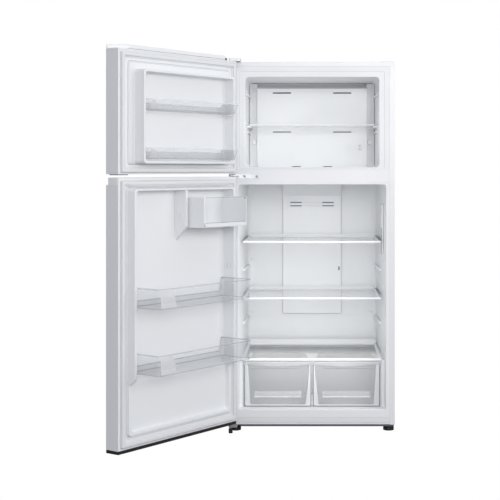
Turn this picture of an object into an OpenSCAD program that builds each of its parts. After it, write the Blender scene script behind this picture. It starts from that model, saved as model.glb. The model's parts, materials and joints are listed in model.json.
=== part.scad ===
// Top freezer refrigerator: insulated steel cabinet, two doors hinged on the left,
// glass shelves, two crispers, door bins, and the cooling parts in the back and base.
// Frame: +Z up, the front faces -Y, origin on the floor under the middle of the cabinet.
// The doors are drawn shut and are then swung open about their hinge pins.

/* [Cabinet] */
// Width of the cabinet
cab_w = 756; // [754:1:758]
// Depth of the cabinet without its doors
cab_d = 660; // [650:1:680]
// Height of the cabinet's top above the floor
cab_top = 1686; // [1686:1:1692]
// Height of the cabinet's underside above the floor
cab_bottom = 30; // [29:0.5:31]
// Thickness of the steel sheet
sheet_t = 1.5; // [1:0.1:1.8]
// Thickness of the plastic liners
liner_t = 2.5; // [2:0.1:3]

/* [Compartments] */
// Half the width of the freezer's mouth
freezer_half = 305.5; // [302:0.5:310]
// Height of the freezer's floor
freezer_floor = 1206; // [1204:1:1208]
// Height of the freezer's ceiling
freezer_ceiling = 1617; // [1614:1:1620]
// Half the width of the fridge's mouth
fridge_half = 337.5; // [337:0.5:339]
// How far each fridge side wall leans in towards the back
fridge_draft = 12; // [8:0.5:12]
// Height of the fridge's floor
fridge_floor = 99; // [98:0.5:99]
// Height of the fridge's ceiling
fridge_ceiling = 1127; // [1126:1:1128]
// Depth of both compartments behind the cabinet's front
inside_depth = 585; // [582:1:588]

/* [Doors] */
// Angle at which both doors stand open
door_open = 125.5; // [0:0.5:130]
// Thickness of a door without its seal
door_t = 70.4; // [68:0.2:72]
// Gap between a shut door and the cabinet, filled by the seal
seal_gap = 11.8; // [11.6:0.1:12.4]
// Height of the freezer door's underside
freezer_door_bottom = 1175.6; // [1175:0.1:1177]
// Height of the fridge door's top
fridge_door_top = 1162.4; // [1161:0.1:1163]
// Height of the fridge door's underside
fridge_door_bottom = 44; // [43:0.5:46]
// Radius of the hinge pins
pin_r = 4; // [3.5:0.1:4.5]

/* [Hidden] */
$fn = 48;

// Colours
white = "#eceef0";
liner_white = "#f4f5f6";
clear = [0.85, 0.9, 0.93, 0.45];
steel = "#a9adb2";
black = "#17181a";
dark = "#5a606b";
foam_yellow = "#e8d9a0";
copper = "#b87348";

// The cabinet's planes
half_w = cab_w / 2;
front = -cab_d / 2;
rear = cab_d / 2;
flange_w = 24;
flange_top = 20;
flange_x = half_w - flange_w - 0.2;
flange_z = cab_top - flange_top - 0.2;
rail_low = 1134.5;
rail_high = 1196;
sill_low = 63;
far = 2000;
slip = 0.05;

// The machine bay behind the crispers
hump_depth = 395;
hump_top = 300;
bay_front = front + hump_depth + 60;
bay_top = 250;

// Steps in the side walls beside the crispers
step_half = 318;
step_top = 315;

// Hinge line
pin_x = -(half_w - 8.9);
pin_y = front - 39.2;
knuckle_r = 8.8;
bush_r = 7.7;
foot_r = 25;
foot_h = 24;
foot_x = half_w - 27;
foot_y = front + 35;
stem_r = 5;

// The doors' planes when shut
door_in = front - seal_gap;
door_out = door_in - door_t;
freezer_door_top = 1681;
freezer_cap_top = 1704;
fridge_skin_top = fridge_door_top - 32;
fridge_skin_low = fridge_door_bottom + 14;

// Depth behind the cabinet's front, as a Y position
function back(depth) = front + depth;
// Distance in front of a shut door's inner face towards the food, as a Y position
function rise(height) = door_in + height;
// Half the fridge's inside width at a depth
function fridge_wall(depth) = fridge_half - fridge_draft * depth / inside_depth;
// Outline of a rectangle with rounded corners, from its low and high sides
function rounded(x, y, r, steps = 6) = [
    for (corner = [0 : 3], step = [0 : steps])
        let (
            a = 90 * corner + 90 * step / steps,
            cx = (corner == 0 || corner == 3) ? x[1] - r : x[0] + r,
            cy = (corner < 2) ? y[1] - r : y[0] + r
        )
        [cx + r * cos(a), cy + r * sin(a)]
];

// A box from its low and high sides on each axis
module block(x, y, z) {
    translate([x[0], y[0], z[0]]) cube([x[1] - x[0], y[1] - y[0], z[1] - z[0]]);
}

// A slab facing the front, with rounded corners in the front view
module slab(x, y, z, r = 0.5) {
    translate([0, y[1], 0]) rotate([90, 0, 0]) linear_extrude(y[1] - y[0]) polygon(rounded(x, z, r));
}

// An outline in depth and height, drawn along X
module across(x, points) {
    translate([x[0], 0, 0]) rotate([90, 0, 90]) linear_extrude(x[1] - x[0]) polygon(points);
}

// A round bar along each axis
module bar_x(x, y, z, r) {
    translate([x[0], y, z]) rotate([0, 90, 0]) cylinder(h = x[1] - x[0], r = r);
}

module bar_y(x, y, z, r) {
    translate([x, y[0], z]) rotate([-90, 0, 0]) cylinder(h = y[1] - y[0], r = r);
}

module bar_z(x, y, z, r) {
    translate([x, y, z[0]]) cylinder(h = z[1] - z[0], r = r);
}

// Carries a shut door's piece to where the door stands open
module on_door() {
    translate([pin_x, pin_y, 0]) rotate([0, 0, -door_open]) translate([-pin_x, -pin_y, 0]) children();
}

module mirrored() {
    children();
    mirror([1, 0, 0]) children();
}

// ---- Cabinet ----

module cabinet_shell() color(white) difference() {
    block([-half_w, half_w], [front, rear], [cab_bottom, cab_top]);
    block([-half_w + sheet_t, half_w - sheet_t], [front + sheet_t, far], [0, cab_top - sheet_t]);
    block([-half_w + flange_w, half_w - flange_w], [-far, front + 10], [0, cab_top - flange_top]);
}

module back_panel() color(steel) difference() {
    block([-half_w + 1.7, half_w - 1.7], [rear - sheet_t, rear], [bay_top, cab_top - 1.7]);
    for (x = [-180, 180]) block([x - 90, x + 90], [rear - 0.6, far], [420, 1560]);
}

// Bottom sheet, folded up and back over the machine bay
module bottom_panel() color(steel) difference() {
    union() {
        across([-half_w + 1.7, half_w - 1.7], [
            [front + 3, cab_bottom], [bay_front, cab_bottom], [bay_front, bay_top - sheet_t],
            [rear - 1.7, bay_top - sheet_t], [rear - 1.7, bay_top], [bay_front - sheet_t, bay_top],
            [bay_front - sheet_t, cab_bottom + sheet_t], [front + 3, cab_bottom + sheet_t]
        ]);
        block([-328, half_w - 4], [front + 3, front + 4.5], [cab_bottom - 8, cab_bottom + 1]);
        mirrored() bar_z(foot_x, foot_y, [cab_bottom, cab_bottom + 22], 11);
    }
    mirrored() bar_z(foot_x, foot_y, [0, cab_bottom + 23], stem_r + slip);
    bar_z(0, rear - 40, [bay_top - 10, bay_top + 10], 8.2);
}

module freezer_cavity(t, y0 = front) {
    slab([-freezer_half - t, freezer_half + t], [y0, back(inside_depth) + t],
        [freezer_floor - t, freezer_ceiling + t], 18 + t);
}

module fridge_cavity(t, y0 = front) {
    difference() {
        intersection() {
            slab([-400, 400], [y0, back(inside_depth) + t], [fridge_floor - t, fridge_ceiling + t], 0.5);
            linear_extrude(far) polygon([
                [-fridge_half - t, front - 5], [fridge_half + t, front - 5],
                [fridge_half + t - fridge_draft, back(inside_depth) + 5],
                [-fridge_half - t + fridge_draft, back(inside_depth) + 5]
            ]);
        }
        block([-far, far], [back(hump_depth) + t, far], [0, hump_top - t]);
        mirrored() block([step_half + t, far], [back(73) + t, far], [0, step_top - t]);
    }
}

module freezer_liner() color(liner_white) {
    difference() {
        union() {
            block([-flange_x, flange_x], [front, front + liner_t], [rail_high + 0.2, flange_z]);
            freezer_cavity(liner_t);
        }
        freezer_cavity(0, front - 1);
        block([-331, 331], [front - 1, front + 1], [rail_high, 1643.5]);
        bar_z(0, back(560), [freezer_floor - 10, freezer_floor + 1], 8.2);
    }
    intersection() {
        freezer_cavity(1);
        mirrored() for (z = [1371, 1396, 1545])
            block([287, 330], [back(148), back(420)], [z - 4, z + 4]);
    }
}

module fridge_liner() color(liner_white) {
    difference() {
        union() {
            block([-flange_x, flange_x], [front, front + liner_t], [sill_low, rail_low - 0.2]);
            fridge_cavity(liner_t);
        }
        fridge_cavity(0, front - 1);
    }
    intersection() {
        fridge_cavity(1);
        mirrored() for (z = [459, 586, 714, 849])
            block([317.5, 360], [back(300), back(570)], [z - 5, z + 5]);
    }
}

module cabinet_foam() color(foam_yellow) difference() {
    block([-half_w + 1.7, half_w - 1.7], [front + liner_t + 0.2, rear - 1.7],
        [cab_bottom + 1.7, cab_top - 1.7]);
    freezer_cavity(liner_t + 0.2);
    fridge_cavity(liner_t + 0.2);
    block([-far, far], [bay_front - sheet_t - 0.2, far], [0, bay_top + 0.2]);
    block([-flange_x - 0.2, flange_x + 0.2], [-far, front + 8.2], [rail_low - 0.2, rail_high + 0.2]);
    block([-flange_x - 0.2, flange_x + 0.2], [-far, front + 8.2], [0, sill_low + 0.2]);
    mirrored() bar_z(foot_x, foot_y, [0, cab_bottom + 32], 12);
    block([-12, 12], [rear - 52, rear - 28], [0, 1190]);
    block([-12, 12], [back(548), rear - 28], [1160, 1210]);
}

// Front face between the two compartments
module centre_rail() color(white)
    block([-flange_x, flange_x], [front, front + 8], [rail_low, rail_high]);

// Front face under the fridge, down to the cabinet's underside
module front_rail() color(white)
    block([-flange_x, flange_x], [front, front + 8], [cab_bottom + 2, sill_low - 0.2]);

// Tray that carries the compressor, with the rear roller brackets and axles
roller_x = 330;
roller_y = rear - 50;
roller_r = 14;

module base_plate() color(steel) {
    difference() {
        block([-half_w + 2, half_w - 2], [bay_front + 2, rear - 4], [cab_bottom, cab_bottom + 2]);
        for (x = [-60, 0, 60]) block([x - 20, x + 20], [rear - 60, rear - 40], [0, 60]);
    }
    for (side = [-1, 1]) {
        bar_x([side * roller_x - 16, side * roller_x + 16], roller_y, roller_r, pin_r);
        for (x = [-14, 14])
            block([side * roller_x + x - 1, side * roller_x + x + 1], [roller_y - 9, roller_y + 9], [5, 31]);
    }
}

module roller(side) color(black) difference() {
    bar_x([side * roller_x - 11, side * roller_x + 11], roller_y, roller_r, roller_r);
    bar_x([side * roller_x - 12, side * roller_x + 12], roller_y, roller_r, pin_r + slip);
}

module left_roller() roller(-1);
module right_roller() roller(1);

module compressor_cover() color(steel) difference() {
    block([-half_w + 1.7, half_w - 1.7], [rear - sheet_t, rear], [60, bay_top - 0.5]);
    for (z = [90 : 20 : 210], x = [-280 : 112 : 280])
        block([x - 44, x + 44], [rear - 5, far], [z - 3, z + 3]);
    bar_y(250, [rear - 5, rear + 5], 75, 11);
}

// ---- Cooling parts ----

comp_x = -190;
comp_y = rear - 105;

module compressor() color(black) {
    translate([comp_x, comp_y, 0]) rotate_extrude() polygon([
        [0, 56], [62, 56], [80, 70], [80, 120], [84, 122], [84, 130], [80, 132],
        [80, 170], [62, 192], [30, 202], [0, 204]
    ]);
    block([comp_x - 105, comp_x + 105], [comp_y - 60, comp_y + 60], [52, 57]);
    bar_x([comp_x + 70, comp_x + 120], comp_y, 150, 4);
}

module compressor_mounts() color("#2b2d30")
    for (x = [-90, 90], y = [-45, 45])
        bar_z(comp_x + x, comp_y + y, [cab_bottom + 2, 52], 12);

// Serpentine tube between flat carrier strips
module condenser_coil() color("#3a3d42") {
    for (row = [0 : 4]) bar_x([80, 320], rear - 70, 80 + 28 * row, 3);
    for (row = [0 : 3])
        translate([row % 2 == 0 ? 320 : 80, rear - 70, 94 + 28 * row]) rotate([90, 0, 0])
            rotate([0, 0, row % 2 == 0 ? -90 : 90]) rotate_extrude(angle = 180) translate([14, 0]) circle(3);
    for (x = [100 : 25 : 300])
        block([x - 1, x + 1], [rear - 72, rear - 62], [abs(x - 200) == 100 ? cab_bottom + 2 : 70, 202]);
    bar_x([comp_x + 120, 62], comp_y, 150, 3);
    bar_z(62, comp_y, [80, 150], 3);
    bar_y(62, [comp_y, rear - 70], 80, 3);
    bar_x([62, 80], rear - 70, 80, 3);
    for (corner = [[comp_y, 150], [comp_y, 80], [rear - 70, 80]])
        translate([62, corner[0], corner[1]]) sphere(3.6);
}

module drain_pan() color(white) difference() {
    block([-60, 60], [bay_front + 15, rear - 12], [36, 62]);
    block([-57, 57], [bay_front + 18, rear - 15], [39, 90]);
}

module drain_tube() color(dark) {
    bar_z(0, rear - 40, [66, 1180], 8);
    bar_y(0, [back(560), rear - 40], 1180, 8);
    bar_z(0, back(560), [1180, freezer_floor], 8);
    translate([0, rear - 40, 1180]) sphere(9.5);
    translate([0, back(560), 1180]) sphere(9.5);
}

module evaporator_coil() color(steel) {
    for (x = [-210 : 30 : 210]) block([x - 0.6, x + 0.6], [back(455), back(525)], [1252, 1500]);
    for (z = [1280 : 48 : 1472], y = [475, 505]) bar_x([-225, 225], back(y), z, 4);
    for (side = [-1, 1])
        block([side * 226 - 1.5, side * 226 + 1.5], [back(465), back(inside_depth)], [1222, 1490]);
}

module defrost_heater() color(copper) {
    bar_x([-224.5, 224.5], back(490), 1232, 5);
    for (side = [-1, 1]) bar_z(side * 200, back(490), [1218, 1246], 7);
}

fan_z = 1543;

module fan_motor() color(dark) {
    bar_y(0, [back(436), back(476)], fan_z, 28);
    bar_y(0, [back(398), back(436)], fan_z, 3);
    block([-290, 290], [back(432.5), back(437)], [fan_z - 8, fan_z + 8]);
}

module evaporator_fan() color(black) difference() {
    union() {
        bar_y(0, [back(400), back(420)], fan_z, 14);
        for (a = [0 : 72 : 359])
            translate([0, back(410), fan_z]) rotate([0, a, 0]) rotate([0, 0, 35])
                translate([0, 0, 24]) cube([22, 2.5, 48], center = true);
    }
    bar_y(0, [back(390), back(430)], fan_z, 3 + slip);
}

// ---- Covers inside the compartments ----

cover_half = 268;

module freezer_back_cover() color(liner_white) difference() {
    union() {
        slab([-freezer_half + 0.5, freezer_half - 0.5], [back(430), back(432.5)],
            [freezer_floor + 0.5, freezer_ceiling - 0.5], 18);
        across([-cover_half, cover_half], [
            [back(385), 1220], [back(385), 1590], [back(431), 1612], [back(431), 1212]
        ]);
    }
    across([-cover_half + liner_t, cover_half - liner_t], [
        [back(387.5), 1222], [back(387.5), 1588], [back(433), 1609], [back(433), 1216]
    ]);
    mirrored() {
        slab([102, 192], [back(380), back(400)], [1565.5, 1571.5], 2.5);
        slab([102, 192], [back(380), back(400)], [1375.5, 1380.5], 2);
        block([55, 98], [back(420), back(440)], [1208, 1211]);
    }
    block([230, 236], [back(380), back(400)], [1289, 1315]);
}

// Slider that shares cold air between the two compartments
module air_control() color(liner_white) {
    slab([226, 240], [back(378.7), back(384.7)], [1294, 1310], 2.5);
    block([230.6, 235.4], [back(384.7), back(392)], [1299, 1305]);
}

duct_half = 146.5;

module fridge_duct_cover() color(liner_white) difference() {
    union() {
        across([-duct_half, duct_half], [
            [back(574), 472], [back(574), 1064], [back(522), 1126.8],
            [back(584.8), 1126.8], [back(584.8), 472]
        ]);
        slab([131, 139], [back(570), back(575)], [692, 708], 3);
    }
    across([-duct_half + 3, duct_half - 3], [
        [back(577), 475], [back(577), 1065], [back(528), 1123.8], [back(600), 1123.8], [back(600), 475]
    ]);
    for (z = [1012.6, 1029.2]) {
        mirrored() slab([51, 110], [back(560), back(580)], [z - 3, z + 3], 2.5);
        for (x = [-36 : 9 : 36]) bar_y(x, [back(560), back(580)], z, 1.6);
    }
}

// Lamp and air grille on the right wall of the fridge
module side_lamp() color(liner_white) difference() {
    across([325.2, fridge_wall(226) - 0.1], rounded([back(150), back(226)], [796, 1034], 8));
    for (z = [928 : 10 : 1018]) block([320, 329], [back(162), back(214)], [z - 2, z + 2]);
    block([320, 327.2], [back(158), back(218)], [806, 914]);
}

// ---- Hinges, feet and small fittings ----

module top_hinge() color(steel) {
    block([-374, -314], [front + 4, front + 62], [cab_top, cab_top + 4]);
    block([pin_x - 7, -340], [pin_y, front + 5], [cab_top, cab_top + 4]);
    bar_z(pin_x, pin_y, [cab_top, cab_top + 4], knuckle_r - 2);
    bar_z(pin_x, pin_y, [cab_top - 24, cab_top + 1], pin_r);
}

module top_hinge_cover() color(white) difference() {
    translate([0, 0, cab_top]) linear_extrude(13.5)
        polygon(rounded([-377.8, -324], [pin_y - 10.5, front + 68], 9));
    translate([0, 0, cab_top - 1]) linear_extrude(12.5)
        polygon(rounded([-376.2, -325.6], [pin_y - 8.9, front + 66.4], 7.4));
    block([-330, -310], [front + 3.8, front + 62.2], [cab_top - 1, cab_top + 4.2]);
}

module corner_cap() color(white)
    translate([0, 0, cab_top]) linear_extrude(3) polygon(rounded([316, 374], [front + 2, front + 46], 5));

hinge_arm_z = 1165.5;

module centre_hinge() color(steel) difference() {
    union() {
        slab([-376, -238], [front - 3, front], [1153, 1175.5], 6);
        block([pin_x - 7, -332], [pin_y, front - 1], [hinge_arm_z, hinge_arm_z + 5]);
        bar_z(pin_x, pin_y, [hinge_arm_z, hinge_arm_z + 5], knuckle_r);
        bar_z(pin_x, pin_y, [hinge_arm_z - 25, hinge_arm_z + 32], pin_r);
    }
    for (x = [-308, -252]) bar_y(x, [front - 5, front + 1], 1164, 3.2);
}

bottom_arm_z = 25;

// Bracket under the cabinet that carries the fridge door's lower pin
module bottom_hinge() color(steel) difference() {
    union() {
        block([-374, -270], [front + 10, front + 75], [cab_bottom - 3, cab_bottom]);
        block([pin_x - 7, -340], [pin_y, front + 12], [bottom_arm_z, cab_bottom]);
        bar_z(pin_x, pin_y, [bottom_arm_z, 39], knuckle_r);
        bar_z(pin_x, pin_y, [38, 67], pin_r);
    }
    bar_z(-foot_x, foot_y, [0, 100], stem_r + 0.5);
    for (x = [-308, -284]) bar_z(x, front + 45, [0, 100], 3.2);
    bar_z(pin_x, pin_y, [20, 37], 3 + slip);
}

module screw_y(x, z) {
    bar_y(x, [front - 5.5, front - 3], z, 6);
    bar_y(x, [front - 3, front], z, 3.1);
}

module hinge_screws() color(steel) {
    for (x = [-308, -252]) screw_y(x, 1164);
    for (x = [-308, -284]) {
        bar_z(x, front + 45, [cab_bottom - 5.5, cab_bottom - 3], 6);
        bar_z(x, front + 45, [cab_bottom - 3, cab_bottom], 3.1);
    }
    for (x = [-356, -336]) bar_z(x, front + 36, [cab_top + 4, cab_top + 7.5], 6);
}

// Screw foot under the bottom hinge pin
module hinge_foot() color(black) {
    bar_z(pin_x, pin_y, [0, 22], 9.5);
    bar_z(pin_x, pin_y, [22, 36.5], 3);
}

module foot(side) color(black) {
    translate([side * foot_x, foot_y, 0]) rotate_extrude() polygon([
        [0, 0], [foot_r - 3, 0], [foot_r, 3], [foot_r, foot_h - 4], [foot_r - 4, foot_h], [0, foot_h]
    ]);
    bar_z(side * foot_x, foot_y, [foot_h - 1, cab_bottom + 20], stem_r);
}

module left_foot() foot(-1);
module right_foot() foot(1);

// Bushing where the mains lead enters the machine bay
module cord_inlet() color(black) difference() {
    union() {
        bar_y(250, [rear - 1.5, rear], 75, 10.9);
        bar_y(250, [rear, rear + 3], 75, 15);
        bar_y(250, [rear - 8, rear - 1.5], 75, 13);
    }
    bar_y(250, [rear - 20, rear + 20], 75, 4.5);
}

// ---- Shelves and crispers ----

module freezer_shelf() color(clear) {
    block([-292, 292], [back(152), back(380)], [1400, 1404]);
    slab([-292, 292], [back(148), back(152)], [1400, 1409], 1.5);
}

shelf_half = 321;

module shelf_glass(z, y0, y1) block([-shelf_half + 6, shelf_half - 6], [y0 + 8, y1 - 6], [z - 2, z + 2]);

// Moulded rim round a glass shelf: front rail, side rails and back lip
module shelf_rim(z, y0, y1, rail_h, lip_h) difference() {
    union() {
        slab([-shelf_half, shelf_half], [y0, y0 + 12], [z + 4 - rail_h, z + 4], 3);
        block([-shelf_half, shelf_half], [y0 + 6, y1], [z - 5, z + 4]);
        block([-shelf_half, shelf_half], [y1 - 4, y1], [z - 5, z + lip_h]);
    }
    block([-shelf_half + 12, shelf_half - 12], [y0 + 14, y1 - 12], [z - 50, z + 50]);
    block([-shelf_half + 6, shelf_half - 6], [y0 + 8, y1 - 6], [z - 2, z + 2]);
    block([-shelf_half + 10, shelf_half - 10], [y0 + 14, y1 - 10], [z + 1, z + 50]);
}

shelf_front = back(110);
shelf_back = back(568);
upper_z = 859;
middle_z = 596;
cover_z = 320;

module upper_shelf() color(clear) shelf_glass(upper_z, shelf_front, shelf_back);
module upper_trim() color(white) shelf_rim(upper_z, shelf_front, shelf_back, 11, 12);
module middle_shelf() color(clear) shelf_glass(middle_z, shelf_front, shelf_back);
module middle_trim() color(white) shelf_rim(middle_z, shelf_front, shelf_back, 11, 12);
module crisper_cover() color(clear) shelf_glass(cover_z, back(60), back(548));
module cover_trim() color(white) shelf_rim(cover_z, back(60), back(548), 13, 26);

crisper_low = fridge_floor + 0.5;
crisper_high = 306;

// A tapered drawer body from its top and bottom outlines
module crisper_body(x, y, z, t) hull() {
    translate([0, 0, z[1] - 1]) linear_extrude(1)
        polygon(rounded([x[0] + t, x[1] - t], [y[0] + t, y[1] - t], 14));
    translate([0, 0, z[0]]) linear_extrude(1)
        polygon(rounded([x[0] + 20 + t, x[1] - 20 - t], [y[0] + 4 + t, y[1] - 14 - t], 14));
}

module crisper(x0, x1) color(clear) difference() {
    union() {
        crisper_body([x0, x1], [back(72), back(388)], [crisper_low, crisper_high], 0);
        block([x0, x1], [back(70), back(73.5)], [crisper_low, crisper_high]);
        slab([x0, x1], [back(64), back(73.5)], [crisper_high - 14, crisper_high], 3);
    }
    crisper_body([x0, x1], [back(72), back(388)], [crisper_low + 3, crisper_high + 2], liner_t);
    block([x0 + 8, x1 - 8], [back(66.5), back(70)], [crisper_high - 20, crisper_high - 3]);
}

module left_crisper() crisper(-313, -4.5);
module right_crisper() crisper(4.5, 313);

// ---- Freezer door ----

module door_skin(z0, z1) color(white) difference() {
    block([-half_w, half_w], [door_out, door_in], [z0, z1]);
    block([-half_w + 1, half_w - 1], [door_out + 1, far], [0, far]);
}

// The liner's surface on the food side, drawn t inside the true one
module freezer_door_form(t, y0) {
    slab([-half_w + 1.2, half_w - 1.2], [y0, rise(-t)], [freezer_door_bottom + 5, freezer_door_top - 0.2], 1);
    slab([-323.5 + t, 323.5 - t], [y0, rise(8 - t)], [1216 + t, 1638 - t], 12);
    difference() {
        slab([-292 + t, 292 - t], [y0, rise(62 - t)], [1219 + t, 1606 - t], 14);
        slab([-281 - t, 281 + t], [rise(8 - t), far], [1230 - t, 1595 + t], 10);
    }
}

bin_ledge = 12;

module freezer_door_liner() on_door() color(liner_white) {
    difference() {
        freezer_door_form(0, rise(-liner_t));
        freezer_door_form(liner_t, rise(-40));
    }
    for (z = [1238, 1438], side = [-1, 1])
        block([side < 0 ? -281 : 281 - bin_ledge, side < 0 ? bin_ledge - 281 : 281],
            [rise(8), rise(56)], [z - 7, z]);
}

module freezer_door_foam() on_door() color(foam_yellow) difference() {
    intersection() {
        freezer_door_form(liner_t + 0.2, door_out + 1.2);
        block([-half_w + 1.4, half_w - 1.4], [-far, far],
            [freezer_door_bottom + 5.2, freezer_door_top - 0.4]);
    }
    bar_z(pin_x, pin_y, [0, freezer_door_bottom + 28], bush_r + 0.2);
    bar_z(pin_x, pin_y, [freezer_door_top - 25, far], bush_r + 0.2);
}

module freezer_door_skin() on_door() door_skin(freezer_door_bottom + 5, freezer_door_top);

// Top and bottom end caps, each with a bushing for its hinge pin
module freezer_door_caps() on_door() color(white) {
    difference() {
        union() {
            block([-half_w, half_w], [door_out, door_in], [freezer_door_top, freezer_door_top + 3]);
            block([-300, half_w], [door_out, door_in], [freezer_door_top, 1688]);
            translate([0, 0, freezer_door_top + 1]) linear_extrude(freezer_cap_top - freezer_door_top - 1)
                polygon([[-300, door_out], [half_w, door_out], [310, door_in], [-300, door_in]]);
            bar_z(pin_x, pin_y, [freezer_door_top - 24.8, freezer_door_top + 1], bush_r);
        }
        bar_z(pin_x, pin_y, [freezer_door_top - 20, far], pin_r + slip);
    }
    difference() {
        union() {
            block([-half_w, half_w], [door_out, door_in], [freezer_door_bottom, freezer_door_bottom + 5]);
            block([310, 376], [door_out + 16, door_in - 6], [freezer_door_bottom - 4, freezer_door_bottom + 1]);
            bar_z(pin_x, pin_y, [freezer_door_bottom, freezer_door_bottom + 27.8], bush_r);
        }
        bar_z(pin_x, pin_y, [0, freezer_door_bottom + 24], pin_r + slip);
    }
}

// Magnetic seal: a wide foot on the liner and a narrower lip
module door_seal(z0, z1) color(white)
    for (ring = [[0, 0.1, 5], [4, 5, 11.5]])
        difference() {
            slab([-366 + ring[0], 366 - ring[0]], [rise(ring[1]), rise(ring[2])],
                [z0 + ring[0], z1 - ring[0]], 6);
            slab([-342 - ring[0], 342 + ring[0]], [rise(-1), rise(20)], [z0 + 24 - ring[0], z1 - 24 + ring[0]], 3);
        }

module freezer_door_seal() on_door() door_seal(1181, 1676);

// An open door bin: chamfered front corners and a floor
module bin_plan(x, y, cut) polygon([
    [x[0], y[0]], [x[1], y[0]], [x[1], y[1] - cut], [x[1] - cut, y[1]], [x[0] + cut, y[1]], [x[0], y[1] - cut]
]);

module door_bin(x, y, z, cut, wall = 2.5) difference() {
    translate([0, 0, z[0]]) linear_extrude(z[1] - z[0]) bin_plan(x, y, cut);
    translate([0, 0, z[0] + 3]) linear_extrude(far)
        bin_plan([x[0] + wall, x[1] - wall], [y[0] + wall, y[1] - wall], cut);
}

module freezer_top_bin() on_door() color(clear)
    door_bin([-277, 277], [rise(10), rise(101)], [1438, 1484], 14);

module freezer_bottom_bin() on_door() color(clear)
    door_bin([-277, 277], [rise(10), rise(101)], [1238, 1284], 14);

// ---- Fridge door ----

pocket_depth = 20;
wing_low = 345;

module fridge_door_form(t, y0) {
    difference() {
        union() {
            slab([-half_w + 1.2, half_w - 1.2], [y0, rise(-t)], [fridge_skin_low, fridge_door_top], 1);
            slab([-328 + t, 328 - t], [y0, rise(12 - t)], [108 + t, 1122 - t], 12);
            slab([-323 + t, 323 - t], [y0, rise(40 - t)], [wing_low + t, 1117 - t], 16);
        }
        slab([-307 - t, 307 + t], [rise(-pocket_depth - t), far], [wing_low - 30 - t, 1106 + t], 10);
        slab([-307 - t, 307 + t], [rise(-6 - t), far], [122 - t, wing_low + t], 10);
    }
    across([-4 + t, 12 - t], [
        [y0, 895 + t], [rise(-pocket_depth - t), 895 + t], [rise(40 - t), 951 + t],
        [rise(40 - t), 1110], [y0, 1110]
    ]);
}

fridge_bin_z = [361, 629];
dairy_z = 947;

module fridge_door_liner() on_door() color(liner_white) {
    difference() {
        fridge_door_form(0, rise(-pocket_depth - liner_t));
        fridge_door_form(liner_t, rise(-80));
    }
    for (z = fridge_bin_z, side = [-1, 1])
        block([side < 0 ? -307 : 307 - bin_ledge, side < 0 ? bin_ledge - 307 : 307],
            [rise(-pocket_depth), rise(36)], [z - 9, z]);
    block([-307, -307 + bin_ledge], [rise(-pocket_depth), rise(36)], [dairy_z - 9, dairy_z]);
    block([-14, -3], [rise(-pocket_depth), rise(20)], [dairy_z - 9, dairy_z]);
}

module fridge_door_foam() on_door() color(foam_yellow) difference() {
    intersection() {
        fridge_door_form(liner_t + 0.2, door_out + 1.2);
        block([-half_w + 1.4, half_w - 1.4], [-far, far], [fridge_skin_low + 0.2, fridge_skin_top - 0.2]);
    }
    bar_z(pin_x, pin_y, [0, fridge_skin_low + 14], bush_r + 0.2);
}

module fridge_door_skin() on_door() door_skin(fridge_skin_low, fridge_skin_top);

// Top cap with its finger ledge set back, and the dark bottom cap
module fridge_door_caps() on_door() {
    color(white) difference() {
        union() {
            block([-half_w, half_w], [door_out + 11.6, rise(-liner_t - 0.2)],
                [fridge_skin_top, fridge_door_top]);
            block([-half_w, half_w], [door_out, door_out + 12], [fridge_skin_top, fridge_skin_top + 2]);
        }
        bar_z(pin_x, pin_y, [hinge_arm_z - 28, far], pin_r + slip);
    }
    color(black) difference() {
        union() {
            block([-half_w, half_w], [door_out, door_in], [fridge_door_bottom, fridge_skin_low]);
            bar_z(pin_x, pin_y, [fridge_door_bottom, fridge_skin_low + 13.8], bush_r);
        }
        bar_z(pin_x, pin_y, [0, 70], pin_r + slip);
    }
}

module fridge_door_seal() on_door() door_seal(66, 1150);

module fridge_top_bin() on_door() color(clear)
    door_bin([-300, 300], [rise(-18), rise(155)], [fridge_bin_z[1], fridge_bin_z[1] + 85], 12);

module fridge_bottom_bin() on_door() color(clear)
    door_bin([-300, 300], [rise(-18), rise(155)], [fridge_bin_z[0], fridge_bin_z[0] + 85], 12);

dairy_x = [-300, -9];
flap_y = rise(114);
flap_z = 1070;

module dairy_box() on_door() color(white) difference() {
    block(dairy_x, [rise(-18), rise(122)], [dairy_z, dairy_z + 130]);
    block([dairy_x[0] + 2.5, dairy_x[1] - 2.5], [rise(-15.5), rise(119.5)], [dairy_z + 3, far]);
    block([dairy_x[0] + 2.5, dairy_x[1] - 2.5], [rise(100), far], [dairy_z + 18, far]);
    bar_x([dairy_x[0] - 5, dairy_x[1] + 5], flap_y, flap_z, 2 + slip);
}

// Clear flap that lifts on two stub pins
module dairy_flap() on_door() color(clear) {
    block([dairy_x[0] + 3, dairy_x[1] - 3], [rise(117), rise(119.5)], [dairy_z + 18.5, dairy_z + 129]);
    for (x = [dairy_x[0] + 3, dairy_x[1] - 6]) block([x, x + 3], [rise(109), rise(118)], [1063, 1076]);
    bar_x([dairy_x[0] + 0.5, dairy_x[0] + 4], flap_y, flap_z, 2);
    bar_x([dairy_x[1] - 4, dairy_x[1] - 0.5], flap_y, flap_z, 2);
}

// ---- Everything ----

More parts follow.
